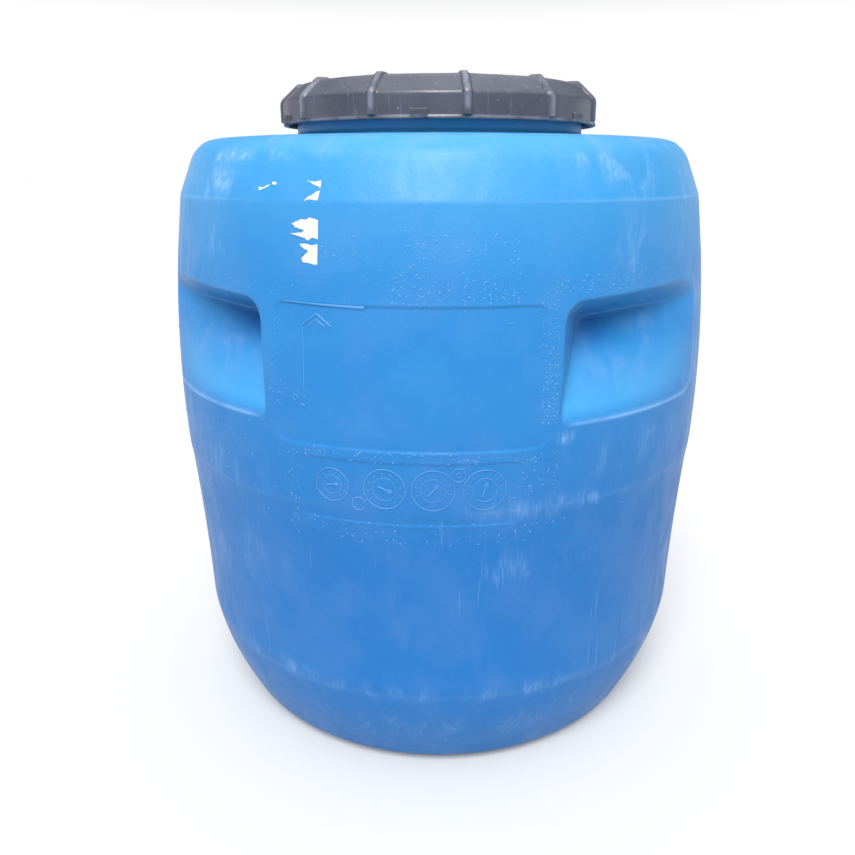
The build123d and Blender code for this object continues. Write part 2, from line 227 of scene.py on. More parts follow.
# ---- camera ----
CAMERA_DISTANCE = 0.920
CAMERA_HEIGHT = 0.6105
CAMERA_AZIMUTH = 5.5
CAMERA_PITCH = 18.81
CAMERA_LENS = 32.16
CAMERA_SHIFT = -0.01415


def make_camera():
    data = bpy.data.cameras.new("camera")
    data.lens = CAMERA_LENS
    data.sensor_width = 36.0
    data.shift_x = CAMERA_SHIFT
    data.clip_start = 0.01
    camera = bpy.data.objects.new("camera", data)
    turn = math.radians(CAMERA_AZIMUTH)
    away, across = CAMERA_DISTANCE * math.cos(turn), CAMERA_DISTANCE * math.sin(turn)
    camera.location = (across, -away, CAMERA_HEIGHT)
    camera.rotation_euler = (math.radians(90 - CAMERA_PITCH), 0, turn)
    bpy.context.scene.collection.objects.link(camera)
    bpy.context.scene.camera = camera


make_camera()

# ---- stage ----
FLOOR_SIZE = 60
FLOOR_COLOUR = colour(0.56, 0.56, 0.56)
SUN_ELEVATION = 50.0
SUN_AZIMUTH = 0.0
SUN_SOFTNESS = 36.0
SUN_STRENGTH = 4.3
# the sky's light by the sine of its elevation: white at the horizon, dim above it, bright overhead
SKY_DIM = colour(0.16, 0.18, 0.22)
SKY = [(0.16, colour(1.0, 1.0, 1.0)), (0.34, SKY_DIM), (0.62, SKY_DIM), (0.78, colour(1.5, 1.5, 1.55))]


def make_floor():
    bpy.ops.mesh.primitive_plane_add(size=FLOOR_SIZE, location=(0, 0, 0))
    floor = bpy.context.object
    floor.name = "floor"
    material = bpy.data.materials.new("pale_floor")
    material.use_nodes = True
    shader = material.node_tree.nodes["Principled BSDF"]
    shader.inputs["Base Color"].default_value = FLOOR_COLOUR
    shader.inputs["Roughness"].default_value = 0.9
    floor.data.materials.append(material)


def make_light():
    """A broad soft sun high in front, and a sky that is white near the horizon and bright overhead."""
    light = bpy.data.lights.new("key", "SUN")
    light.energy = SUN_STRENGTH
    light.angle = math.radians(SUN_SOFTNESS)
    lamp = bpy.data.objects.new("key", light)
    lamp.rotation_euler = (math.radians(90 - SUN_ELEVATION), 0, math.radians(SUN_AZIMUTH))
    bpy.context.scene.collection.objects.link(lamp)
    world = bpy.data.worlds.new("studio")
    bpy.context.scene.world = world
    world.use_nodes = True
    tree = world.node_tree
    place = tree.nodes.new("ShaderNodeTexCoord").outputs["Generated"]
    split = tree.nodes.new("ShaderNodeSeparateXYZ")
    ramp = tree.nodes.new("ShaderNodeValToRGB")
    tree.links.new(place, split.inputs["Vector"])
    tree.links.new(split.outputs["Z"], ramp.inputs["Fac"])
    tree.links.new(ramp.outputs["Color"], tree.nodes["Background"].inputs["Color"])
    stops = ramp.color_ramp.elements
    for _ in SKY[2:]:
        stops.new(0.5)
    for stop, (position, light_colour) in zip(stops, SKY):
        stop.position = position
        stop.color = light_colour
    bpy.context.scene.view_settings.view_transform = "Standard"


make_floor()
make_light()

# ---- hand grips ----


def spot(radius, azimuth):
    """A level point, or points, at this radius and azimuth."""
    turn = np.radians(azimuth)
    return np.stack([radius * np.sin(turn), -radius * np.cos(turn)], -1)


GRIP_LEVEL = GRIP_TOP - GRIP_CEILING
GRIP_CORNER = spot(wall_radius(GRIP_LEVEL) - GRIP_DEPTH, GRIP_DEEP)
GRIP_SIDE = spot(wall_radius(GRIP_LEVEL), GRIP_INNER) - GRIP_CORNER
GRIP_SIDE /= np.linalg.norm(GRIP_SIDE)


def grip_curve(share, flush):
    """Azimuths and radii along one level of a grip; share runs from flush, 0, to deepest, 1."""
    spread = np.linspace(0, 1, 90)
    rim = flush + GRIP_OVERRUN
    along = GRIP_CORNER @ GRIP_SIDE
    reach = math.sqrt(along * along + rim * rim - GRIP_CORNER @ GRIP_CORNER) - along
    shallow = spot(rim, GRIP_INNER + (GRIP_OUTER - GRIP_INNER) * spread)
    shallow = shallow + (GRIP_CORNER + GRIP_SIDE * reach - shallow[0]) * (1 - spread)[:, None]
    out = spot(wall_radius(GRIP_LEVEL) + GRIP_OVERRUN, GRIP_OUTER)
    direction = (out - GRIP_CORNER) / np.linalg.norm(out - GRIP_CORNER)
    bulge = (4 * spread * (1 - spread))[:, None] * GRIP_BULGE * np.array([direction[1], -direction[0]])
    back = GRIP_CORNER + (out - GRIP_CORNER) * spread[:, None] + bulge
    level = shallow * (1 - share) + back * share
    lead = level[0] + GRIP_SIDE * np.linspace(0.09, 0.001, 40)[:, None]
    beyond = spot(rim + 0.05, GRIP_OUTER + 1.0)
    tail = level[-1] + (beyond - level[-1]) * np.linspace(0.02, 1, 20)[:, None]
    curve = np.concatenate([lead, level, tail])
    azimuths = np.degrees(np.arctan2(curve[:, 0], -curve[:, 1]))
    radii = np.hypot(curve[:, 0], curve[:, 1])
    order = np.argsort(azimuths)
    return azimuths[order], radii[order]


def past_rounded(over_x, over_z, corner):
    """How far a point lies outside a rounded rectangle, from how far it is past the corner's centre."""
    outside = np.hypot(np.maximum(over_x, 0), np.maximum(over_z, 0))
    return outside + np.minimum(np.maximum(over_x, over_z), 0) - corner


MOUTH_SLOPE = 2.4
MOUTH_LEAN = 0.6
# the mouth's corner radii, by whether the corner is the outer and the top one
MOUTH_CORNERS = {
    (False, True): 25 * MM,
    (True, False): 26 * MM,
    (False, False): 7 * MM,
    (True, True): 8 * MM,
}


def grip_mouth(azimuth, height):
    """The signed distance to the grip's mouth, an upright rectangle with four corner radii."""
    inner = GRIP_INNER + 0.1 - MOUTH_LEAN * (GRIP_TOP - height) / (GRIP_TOP - GRIP_BOTTOM)
    middle_a = (inner + GRIP_OUTER) / 2
    half_a = np.radians(GRIP_OUTER - inner) / 2 * BELLY
    middle_z = (GRIP_TOP + GRIP_BOTTOM) / 2
    half_z = (GRIP_TOP - GRIP_BOTTOM) / 2
    x = np.radians(azimuth - middle_a) * BELLY
    z = height - middle_z
    distance = np.full(np.broadcast(x, z).shape, -1.0)
    for (outer, top), corner in MOUTH_CORNERS.items():
        here = ((x > 0) == outer) & ((z > 0) == top)
        edge = past_rounded(np.abs(x) - half_a + corner, np.abs(z) - half_z + corner, corner)
        distance = np.where(here, edge, distance)
    return distance


# radii that stand for no grip at all: beside the field's curves, in the field, and outside it
FIELD_FAR = BELLY + 90 * MM
FIELD_CAP = BELLY + 30 * MM
NO_GRIP = BELLY + 50 * MM
GRIP_EASE_Z = 1.1 * MM
GRIP_EASE_A = 1.7 * MM
FIELD_STEP_A = 0.3
FIELD_STEP_Z = 1.0 * MM
FIELD_A = np.arange(GRIP_INNER - 6, GRIP_OUTER + 6, FIELD_STEP_A)
FIELD_Z = np.arange(GRIP_BOTTOM - 15 * MM, GRIP_TOP + 15 * MM, FIELD_STEP_Z)


def grip_field():
    """The radius of a grip's surface over azimuth and height, with its inner corners rounded."""
    radius = np.zeros((len(FIELD_Z), len(FIELD_A)))
    for row, height in enumerate(FIELD_Z):
        if height <= GRIP_LEVEL:
            share = (height - GRIP_BOTTOM) / (GRIP_LEVEL - GRIP_BOTTOM)
            flush = wall_radius(GRIP_BOTTOM)
        else:
            share = (GRIP_TOP - height) / GRIP_CEILING
            flush = wall_radius(GRIP_TOP)
        azimuths, radii = grip_curve(share, flush)
        radius[row] = np.interp(FIELD_A, azimuths, radii, left=FIELD_FAR, right=FIELD_FAR)
    mouth = grip_mouth(FIELD_A[None, :], FIELD_Z[:, None])
    radius = np.maximum(radius, wall_radius(FIELD_Z)[:, None] + MOUTH_SLOPE * mouth)
    radius = np.minimum(radius, FIELD_CAP)
    radius = smooth_rows(radius, GRIP_EASE_Z / FIELD_STEP_Z)
    arc = math.radians(FIELD_STEP_A) * BELLY
    return smooth_rows(radius.T.copy(), GRIP_EASE_A / arc).T


GRIP_FIELD = grip_field()


def folded(azimuth):
    """Azimuth folded into the first quarter, because the grips are mirror images in all four."""
    around = np.abs(away_from(azimuth, 0))
    return np.where(around > 90, 180 - around, around)


GRIP_RISE = 6.5 * MM
GRIP_RISE_MIDDLE = 44.0
GRIP_RISE_SPAN = 20.0


def grip_radius(azimuth, height):
    """The radius of the nearest grip's surface, or far outside the wall where there is none."""
    # a grip's top edge climbs towards its outer end
    lean = GRIP_RISE * (folded(azimuth) - GRIP_RISE_MIDDLE) / GRIP_RISE_SPAN
    height = height - lean * np.clip((height - GRIP_BOTTOM) / (GRIP_TOP - GRIP_BOTTOM), 0, 1)
    column = (folded(azimuth) - FIELD_A[0]) / FIELD_STEP_A
    row = (height - FIELD_Z[0]) / FIELD_STEP_Z
    inside = (column > 0) & (column < len(FIELD_A) - 1) & (row > 0) & (row < len(FIELD_Z) - 1)
    c = np.clip(column, 0, len(FIELD_A) - 2)
    r = np.clip(row, 0, len(FIELD_Z) - 2)
    c0, r0 = c.astype(int), r.astype(int)
    fc, fr = c - c0, r - r0
    low = GRIP_FIELD[r0, c0] * (1 - fc) + GRIP_FIELD[r0, c0 + 1] * fc
    high = GRIP_FIELD[r0 + 1, c0] * (1 - fc) + GRIP_FIELD[r0 + 1, c0 + 1] * fc
    return np.where(inside, low * (1 - fr) + high * fr, NO_GRIP)


def soft_min(a, b, ease):
    """The smaller of two lengths, with the corner between them rounded over ease."""
    h = np.clip(0.5 + 0.5 * (b - a) / ease, 0, 1)
    return b * (1 - h) + a * h - ease * h * (1 - h)


# ---- panels ----
LIP_EASE = 1.8 * MM
PANELS = [
    # middle azimuth, half azimuth, low, high, depth, corner
    (0.0, 23.8, SHOULDER - 262 * MM, SHOULDER - 137 * MM, 1.2 * MM, 12 * MM),
    (0.0, 20.2, SHOULDER - 333 * MM, SHOULDER - 273 * MM, 0.8 * MM, 12 * MM),
    (180.0, 23.8, SHOULDER - 262 * MM, SHOULDER - 137 * MM, 1.2 * MM, 12 * MM),
]
PANEL_EDGE = 2.2 * MM
PANEL_BEAD = 0.2 * MM


def panel_sink(azimuth, height):
    """How far the wall lies below its outline at the panels, with a fine bead along their edges."""
    sink = np.zeros(np.broadcast(azimuth, height).shape)
    for middle, half, low, high, depth, corner in PANELS:
        arc = np.radians(away_from(azimuth, middle)) * BELLY
        reach_x = np.abs(arc) - math.radians(half) * BELLY + corner
        reach_z = np.abs(height - (low + high) / 2) - (high - low) / 2 + corner
        edge = past_rounded(reach_x, reach_z, corner)
        sink = sink + depth * eased(np.clip(0.5 - edge / PANEL_EDGE, 0, 1))
        sink = sink - PANEL_BEAD * bell(edge, PANEL_EDGE * 0.9, PANEL_EDGE * 0.45)
    return sink


SKIN_INSET = 0.55 * MM
WAVES = [
    # waves in a turn, phase, turn with height, size in mm
    (3, 0.31, 5.1, 0.22),
    (5, 1.7, -7.9, 0.16),
    (8, 4.0, 12.3, 0.10),
    (2, 2.2, 17.0, 0.12),
    (13, 0.9, 21.0, 0.06),
]


def unevenness(azimuth, height):
    """The slight waves of a blown wall, always inward."""
    total = 0.0
    for turns, phase, rise, size in WAVES:
        total = total + size * (1 + np.sin(np.radians(azimuth) * turns + phase + rise * height))
    return total * 0.5 * MM + SKIN_INSET


def skin_radius(azimuth, height, radius):
    """The finished outer radius, from the outline's radius at that height."""
    plain = radius - panel_sink(azimuth, height) - unevenness(azimuth, height)
    return soft_min(plain, grip_radius(azimuth, height), LIP_EASE)


# ---- meshes made of rings about the axis ----


def quads(first, second, count, closed=True):
    """Faces between two rows of points, given by where each row starts."""
    columns = range(count if closed else count - 1)
    return [(first + i, first + (i + 1) % count, second + (i + 1) % count, second + i) for i in columns]


class Rings:
    """A closed skin made of rings; neighbours may differ in how many points they have."""

    def __init__(self):
        self.points = []
        self.faces = []
        self.rings = []
        self.count = 0

    def pole(self, height):
        self.points.append(np.array([[0.0, 0.0, height]]))
        self.rings.append((self.count, None))
        self.count += 1
        self.join()

    def ring(self, azimuths, radii, heights):
        turn = np.radians(azimuths)
        radii = np.broadcast_to(radii, turn.shape)
        heights = np.broadcast_to(heights, turn.shape)
        self.points.append(np.stack([radii * np.sin(turn), -radii * np.cos(turn), heights], 1))
        self.rings.append((self.count, np.asarray(azimuths)))
        self.count += len(azimuths)
        self.join()

    def join(self):
        if len(self.rings) < 2:
            return
        (low, a), (high, b) = self.rings[-2:]
        if a is None or b is None:
            pole, first, azimuths = (low, high, b) if a is None else (high, low, a)
            for i in range(len(azimuths)):
                edge = (first + i, first + (i + 1) % len(azimuths))
                self.faces.append((pole, *edge) if a is None else (pole, *edge[::-1]))
        elif len(a) == len(b):
            self.faces += quads(low, high, len(a))
        else:
            self.zip_up(low, a, high, b)

    def zip_up(self, low, a, high, b):
        """Triangles between two rings that differ in their azimuths."""
        i = j = 0
        while i < len(a) or j < len(b):
            next_a = a[(i + 1) % len(a)] + (360 if i + 1 >= len(a) else 0)
            next_b = b[(j + 1) % len(b)] + (360 if j + 1 >= len(b) else 0)
            if j >= len(b) or (i < len(a) and next_a <= next_b):
                self.faces.append((low + i % len(a), low + (i + 1) % len(a), high + j % len(b)))
                i += 1
            else:
                self.faces.append((low + i % len(a), high + (j + 1) % len(b), high + j % len(b)))
                j += 1

    def build(self, name, material, body):
        return build_mesh(name, np.concatenate(self.points), self.faces, material, body)


SHARP_ANGLE = 55.0


def build_mesh(name, points, faces, material, body, smooth=True):
    mesh = bpy.data.meshes.new(name)
    mesh.from_pydata([tuple(p) for p in points], [], faces)
    mesh.validate()
    if smooth:
        mesh.polygons.foreach_set("use_smooth", [True] * len(mesh.polygons))
        mesh.set_sharp_from_angle(angle=math.radians(SHARP_ANGLE))
    mesh.materials.append(material)
    piece = bpy.data.objects.new(name, mesh)
    bpy.context.scene.collection.objects.link(piece)
    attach(piece, body)
    return piece


def spread_by_density(low, high, count, spots):
    """Places from low to high, closer together near each spot, given as (middle, width, weight)."""
    grid = np.linspace(low, high, 4000)
    density = np.ones_like(grid)
    for middle, width, weight in spots:
        density += weight * bell(grid, middle, width)
    share = np.concatenate([[0], np.cumsum((density[1:] + density[:-1]) / 2)])
    return np.interp(np.linspace(0, share[-1], count), share, grid)


def middle_azimuths(count):
    """Columns of the band with grips and panels: close over the grips and the front panel's edges."""
    spots = [(0, 15, 1.2), (-23.8, 1.2, 3), (23.8, 1.2, 3), (-20.2, 1, 2), (20.2, 1, 2)]
    spots += [(156.2, 1, 2), (203.8, 1, 2)]
    for middle in (46, 134, 226, 314):
        spots.append((middle, 17, 1.6))
    for edge in (26.5, 65.6):
        for sign in (1, -1):
            for base in (0, 180):
                spots.append(((base + sign * edge) % 360, 2.0, 4 if edge < 30 else 2))
    spots += [(middle + 360, width, weight) for middle, width, weight in spots if middle < 60]
    return spread_by_density(0, 360, count + 1, spots)[:-1]


RIM_EASE = 1.5 * MM
# heights near which the rows of the middle band lie closer, with their weights
CLOSE_ROWS = [(GRIP_TOP, 4), (GRIP_TOP - GRIP_CEILING, 3), (GRIP_BOTTOM, 3)]
CLOSE_ROWS += [(edge, 3) for panel in PANELS[:2] for edge in panel[2:4]]
CLOSE_ROWS += [(STEP_LOW[1], 4), (STEP_HIGH[1], 3)]


def drum_skin(material):
    skin = Rings()
    inner, coarse, neck, fine = circle(144), circle(240), circle(216), middle_azimuths(560)
    # inside, from the base's middle to the mouth
    inside = offset_outline(WALL)
    skin.pole(inside[0, 1])
    for radius, height in pick(inside, spread_by_density(0, 1, 56, [(0.02, 0.02, 2)])):
        clear_of_neck = radius > NECK or height < 100 * MM
        if 25 * MM < radius < BELLY and height < SHOULDER - WALL and clear_of_neck:
            radii = np.full(len(inner), radius)
            if GRIP_BOTTOM - 10 * MM < height < GRIP_TOP + 10 * MM:
                radii = soft_min(radii, grip_radius(inner, height) - 1.15 * WALL, LIP_EASE)
            skin.ring(inner, radii, height)
    skin.ring(inner, MOUTH + 3 * MM, SHOULDER + 2.8 * MM - WALL)
    skin.ring(inner, MOUTH, SHOULDER + 6 * MM - WALL)
    for height in np.linspace(SHOULDER + 9 * MM, RIM - RIM_EASE, 5):
        skin.ring(inner, MOUTH, height)
    # rim, with eased edges
    for wall, side, degrees in ((MOUTH, 1, (20, 50, 80)), (NECK, -1, (80, 50, 20))):
        for turn in np.radians(degrees):
            radius = wall + side * RIM_EASE * (1 - math.cos(turn))
            skin.ring(neck, radius, RIM - RIM_EASE * (1 - math.sin(turn)))
    # neck and thread
    for height in np.linspace(RIM - 1.8 * MM, NECK_FOOT[1] + NECK_ROOT, 44):
        ridge = thread_ridge(neck, height, NECK_THREAD_START, NECK_THREAD_WIDTHS)
        skin.ring(neck, NECK + ridge, height)
    for turn in np.radians([0, 30, 60, 85]):
        radius = NECK + NECK_ROOT * (1 - math.cos(turn))
        skin.ring(neck, radius, NECK_FOOT[1] + NECK_ROOT * (1 - math.sin(turn)))
    # outside, from the shoulder to the base's middle
    line = OUTLINE[::-1]
    along = lengths_along(line)

    def place(height):
        """The length down the wall at which it passes this height."""
        return along[np.argmin(np.abs(line[:, 1] - height) + (line[:, 0] < BELLY - 60 * MM))]

    top, bottom = place(GRIP_TOP + 9 * MM), place(STEP_LOW[1] - 6 * MM)
    foot = place(0.5 * MM)
    bands = [
        # where the rows start and end, how many there are, where they lie closer, and the columns
        (6 * MM, top, 46, [(SEAM[1], 6 * MM, 6), (SHOULDER - 6 * MM, 18 * MM, 2)], coarse),
        (top, bottom, 92, [(height, 3.5 * MM, weight) for height, weight in CLOSE_ROWS], fine),
        (bottom, foot, 50, [(WAIST[1], 12 * MM, 2), (0.5 * MM, 25 * MM, 2)], coarse),
    ]
    rows = []
    for start, end, count, heights, azimuths in bands:
        spots = [(place(height), width, weight) for height, width, weight in heights]
        steps = spread_by_density(start, end, count, spots)
        # a band's first row is the last row of the band above
        rows += [(step, azimuths) for step in (steps[1:] if rows else steps)]
    base = [(place(0) + 20 * MM, 15 * MM, 3)]
    rows += [(step, inner) for step in spread_by_density(foot, along[-1] - 30 * MM, 26, base)[1:]]
    for step, azimuths in rows:
        radius, height = sampled(line, along, [step])[0]
        radii = np.full(len(azimuths), radius)
        if radius > BELLY - 45 * MM and height > 5 * MM:
            radii = skin_radius(azimuths, height, radius)
        skin.ring(azimuths, radii, height)
    skin.pole(OUTLINE[0, 1])
    return skin.build("drum_skin", material, "drum")


def offset_outline(depth):
    """The outline moved in by depth, without the neck."""
    return OUTLINE - depth * outward_normals(OUTLINE)


def pick(line, shares):
    """Points along a line at these shares of its length."""
    along = lengths_along(line)
    return sampled(line, along, np.array(shares) * along[-1])


def thread_ridge(azimuth, height, start, widths):
    """How far a thread stands off its wall; it starts at +X and winds up to the left."""
    turned = np.remainder(azimuth - 90, 360) / 360
    rise = np.zeros_like(turned)
    root, crest = widths
    for lap in range(2):
        lead = turned + lap
        off = np.abs(height - start - THREAD_PITCH * lead)
        share = eased(np.clip((root / 2 - off) / ((root - crest) / 2), 0, 1))
        ends = np.clip(lead / THREAD_END, 0, 1) * np.clip((THREAD_TURNS - lead) / THREAD_END, 0, 1)
        rise = np.maximum(rise, THREAD_RISE * share * ends)
    return rise


# ---- small raised marks, piled up in one mesh ----
ARCH = 7  # points across a half-round section
DOME = 7  # corners of a blister


class Pile:
    """Points and faces of many small closed forms."""

    def __init__(self):
        self.points = []
        self.faces = []

    def add(self, points, faces):
        base = len(self.points)
        self.points.extend(tuple(point) for point in points)
        self.faces.extend(tuple(base + i for i in face) for face in faces)

    def tube(self, middles, normals, widths, rises, closed=False, sink=0.4 * MM):
        """A ridge with a half-round section along a line of points."""
        middles, normals = np.array(middles), np.array(normals)
        if closed:
            along = np.roll(middles, -1, 0) - np.roll(middles, 1, 0)
        else:
            along = np.gradient(middles, axis=0)
        along /= np.linalg.norm(along, axis=1)[:, None]
        side = np.cross(normals, along)
        count = len(middles)
        widths = np.broadcast_to(widths, count)
        rises = np.broadcast_to(rises, count)
        arch = np.radians(np.linspace(-90, 90, ARCH))
        points = []
        for i in range(count):
            across = side[i] * (widths[i] / 2 * np.sin(arch))[:, None]
            lift = normals[i] * ((rises[i] + sink) * np.cos(arch) - sink)[:, None]
            points.extend(middles[i] + across + lift)
        faces = []
        for i in range(count if closed else count - 1):
            faces += quads(i * ARCH, (i + 1) % count * ARCH, ARCH)
        if not closed:
            faces.append(tuple(range(ARCH - 1, -1, -1)))
            faces.append(tuple((count - 1) * ARCH + k for k in range(ARCH)))
        self.add(points, faces)

    def dome(self, middle, normal, radius, rise):
        """A low blister on a wall."""
        first = np.cross(normal, (0, 0, 1.0))
        first /= np.linalg.norm(first)
        second = np.cross(normal, first)
        turns = np.radians(circle(DOME))
        points = []
        for share, lift in ((1.15, -0.9), (0.72, 0.62)):
            for turn in turns:
                out = first * math.cos(turn) + second * math.sin(turn)
                points.append(middle + out * radius * share + normal * rise * lift)
        points.append(middle + normal * rise)
        faces = [tuple(range(DOME - 1, -1, -1))]
        for k in range(DOME):
            m = (k + 1) % DOME
            faces.append((k, m, DOME + m, DOME + k))
            faces.append((DOME + k, DOME + m, 2 * DOME))
        self.add(points, faces)

    def build(self, name, material, body):
        return build_mesh(name, self.points, self.faces, material, body)


def on_wall(azimuths, heights):
    """Points on the finished wall, and the level directions out of it."""
    azimuths, heights = np.broadcast_arrays(np.asarray(azimuths, float), np.asarray(heights, float))
    radii = skin_radius(azimuths, heights, wall_radius(heights))
    turn = np.radians(azimuths)
    normals = np.stack([np.sin(turn), -np.cos(turn), 0 * turn], -1)
    points = normals * radii[..., None]
    points[..., 2] = heights
    return points, normals


def wall_line(pile, corners, width, rise, step=1.5 * MM, taper=None):
    """A raised line on the wall through corners given as azimuth and height in millimetres."""
    line = np.array(corners, float) * (1, MM)
    pieces = []
    for start, end in zip(line, line[1:]):
        length = math.hypot(math.radians(end[0] - start[0]) * BELLY, end[1] - start[1])
        share = np.linspace(0, 1, max(2, int(length / step)))[:, None]
        pieces.append(start * (1 - share) + end * share)
    for piece in pieces:
        points, normals = on_wall(piece[:, 0], piece[:, 1])
        sizes = np.linspace(*taper, len(piece)) if taper else np.ones(len(piece))
        pile.tube(points, normals, width * MM * sizes, rise * MM * sizes)


def wall_ring(pile, azimuth, height, radius, width, rise, start=0, end=360):
    """A raised ring, or part of one, on the wall; its angles run from the right, upwards."""
    closed = end - start >= 360
    turns = np.radians(np.linspace(start, end, max(8, int(radius * 1.6)), endpoint=not closed))
    azimuths = azimuth + np.degrees(radius * MM * np.cos(turns) / BELLY)
    points, normals = on_wall(azimuths, (height + radius * np.sin(turns)) * MM)
    pile.tube(points, normals, width * MM, rise * MM, closed)


def dial(pile, azimuth, height, radius, pointer):
    """A date dial without numbers: two rings, ticks between them and an arrow in the middle."""
    hub = radius * 0.58
    wall_ring(pile, azimuth, height, radius, 1.3, 0.75)
    wall_ring(pile, azimuth, height, hub, 0.9, 0.4)

    def place(distance, turn):
        angle = math.radians(turn)
        across = math.degrees(distance * MM * math.cos(angle) / BELLY)
        return (azimuth + across, height + distance * math.sin(angle))

    for tick in range(12):
        turn = tick * 30 + pointer
        wall_line(pile, [place(hub * 1.25, turn), place(radius * 0.86, turn)], 0.9, 0.45)
    wall_line(pile, [place(-hub * 0.6, pointer), place(hub * 0.6, pointer)], 1.7, 0.75)
    for barb in (-28, 28):
        wall_line(pile, [place(hub * 0.7, pointer), place(hub * 0.36, pointer + barb)], 1.3, 0.6)


BLISTERS = [
    # azimuth from, to, height from, to, how many, share of large ones
    (-3, 19, 503, 530, 170, 0.4),
    (0, 19, 528, 562, 110, 0.3),
    (22.5, 25.6, 396, 512, 420, 0.15),
    (25, 62, 509, 524, 420, 0.15),
    (-25.4, -22.5, 396, 515, 60, 0.2),
    (-62, -26, 510, 517, 40, 0.2),
    (-22, 22, 364, 375, 110, 0.6),
    (-22, -20, 296, 366, 40, 0.5),
    (19, 26, 330, 372, 60, 0.6),
    (-24, 24, 284, 299, 80, 0.4),
    (-60, 60, 299, 306, 120, 0.3),
    (-45, -20, 310, 392, 50, 0.3),
    (-20, -3, 505, 560, 40, 0.2),
    (-70, 70, 310, 570, 160, 0.15),
    (154, 158, 396, 512, 70, 0.3),
    (202, 206, 396, 512, 70, 0.3),
    (158, 202, 505, 540, 90, 0.4),
    (120, 240, 299, 306, 90, 0.3),
    (100, 260, 310, 570, 160, 0.15),
]
MARK_LINES = [
    # corners as azimuth and height, width, rise, taper
    ([(-21.5, 502), (-6.7, 500)], 3.6, 1.5, (0.25, 1.0)),
    ([(-17.9, 483), (-15.3, 493.2), (-12.7, 483)], 1.8, 0.9, None),
    ([(-16.8, 482.6), (-15.3, 488), (-13.8, 482.6)], 1.5, 0.7, None),
    ([(-17.9, 481), (-17.9, 420)], 0.9, 0.35, None),
    ([(-18.7, 412.6), (-17.8, 411)], 2.0, 0.9, None),
]
# azimuth, height, radius, width, rise, and the angles of a part ring
MARK_RINGS = [(-19.7, 418, 2.6, 1.2, 0.7), (17.2, 482, 5.5, 1.2, 0.6, 55, 125)]
DATE_PANEL_RINGS = [
    (-8.5, 324, 6.5, 1.3, 0.7),
    (8.7, 355, 6.5, 1.3, 0.7),
    (8.7, 355, 2.2, 1.2, 0.7),
    (18.4, 326, 4.6, 1.0, 0.5, 20, 250),
]
DIAL_HEIGHT = 340
# azimuth, radius, and the pointer's angle
DIALS = [(-13.3, 16.0, 8), (-3.9, 19.0, -22), (4.4, 19.4, 48), (13.2, 19.4, 72)]
MARKS_SEED = 11


def moulded_marks(material):
    pile = Pile()
    for corners, width, rise, taper in MARK_LINES:
        wall_line(pile, corners, width, rise, taper=taper)
    for ring in MARK_RINGS:
        wall_ring(pile, *ring)
    for azimuth, radius, pointer in DIALS:
        dial(pile, azimuth, DIAL_HEIGHT, radius, pointer)
    for ring in DATE_PANEL_RINGS:
        wall_ring(pile, *ring)
    draw = np.random.default_rng(MARKS_SEED)
    for low_a, high_a, low_z, high_z, count, large in BLISTERS:
        for _ in range(count):
            azimuth, height = draw.uniform(low_a, high_a), draw.uniform(low_z, high_z) * MM
            size = draw.uniform(0.3, 0.7) + (draw.uniform(0.2, 0.8) if draw.random() < large else 0)
            if -17 < azimuth < 20 and 0.38 < height < 0.5:
                continue
            if grip_radius(azimuth, height) < wall_radius(height) + 2 * MM:
                continue
            points, normals = on_wall(azimuth, height)
            pile.dome(points, normals, size * MM, 0.42 * size * MM)
    return pile.build("moulded_marks", material, "drum")


PINCH_REACH = 190 * MM
PINCH_POINTS = 60


def parting_lines(material):
    """The mould's parting line up both sides, and the pinch-off across the base."""
    pile = Pile()
    for azimuth in (90, -90):
        heights = np.arange(30, 632, 3.0) * MM
        points, normals = on_wall(np.full(len(heights), float(azimuth)), heights)
        pile.tube(points, normals, 1.4 * MM, 0.3 * MM)
    across = np.linspace(-PINCH_REACH, PINCH_REACH, PINCH_POINTS)
    height = RECESS_EDGE[1] + 0.2 * MM
    points = np.stack([across, 0 * across, 0 * across + height], 1)
    ends = np.clip((PINCH_REACH - np.abs(across)) / (12 * MM), 0.15, 1)
    pile.tube(points, np.tile((0, 0, -1.0), (PINCH_POINTS, 1)), 5 * MM, 3.2 * MM * ends)
    return pile.build("parting_lines", material, "drum")


# ---- torn paper label ----

# Outlines as millimetres along the wall and up it, from the label's upper right corner.
PAPER_CORNER = (-15.0, 600.0)
PAPER_SCRAPS = [
    [(0, 0), (-6, -0.6), (-14, 0.2), (-9, -1.6), (-5, -3.4), (-2, -4.2), (0, -6)],
    [(0, -7.6), (-4, -8.8), (-7, -11), (-10, -12.2), (-14, -15.6), (-9, -14.2), (-5, -15), (-1, -15.4)],
    [
        (0, -31), (-4, -29.6), (-8, -28.8), (-11, -30.4), (-17, -30.6), (-20, -32),
        (-25, -34), (-22, -36.6), (-17, -38), (-12, -38.8), (-15, -41), (-26, -42),
        (-18, -44), (-12, -45), (-9, -47.2), (-5, -44.6), (0, -46),
    ],
    [
        (0, -50), (-5, -51), (-10, -50), (-17, -50.4), (-13, -54), (-8, -55.4),
        (-11, -58), (-15, -62), (-13, -65), (-7, -65.8), (0, -66.4),
    ],
    [(-65, -5), (-64, -8), (-60, -7), (-53, -4.2), (-53, -3), (-58, -5), (-62, -5.6)],
    [(-50, -1), (-45, -1.8), (-46, -3.4), (-50, -3)],
]
PAPER_LIFT = 0.08 * MM
PAPER_THICKNESS = 0.22 * MM
PAPER_SEED = 5


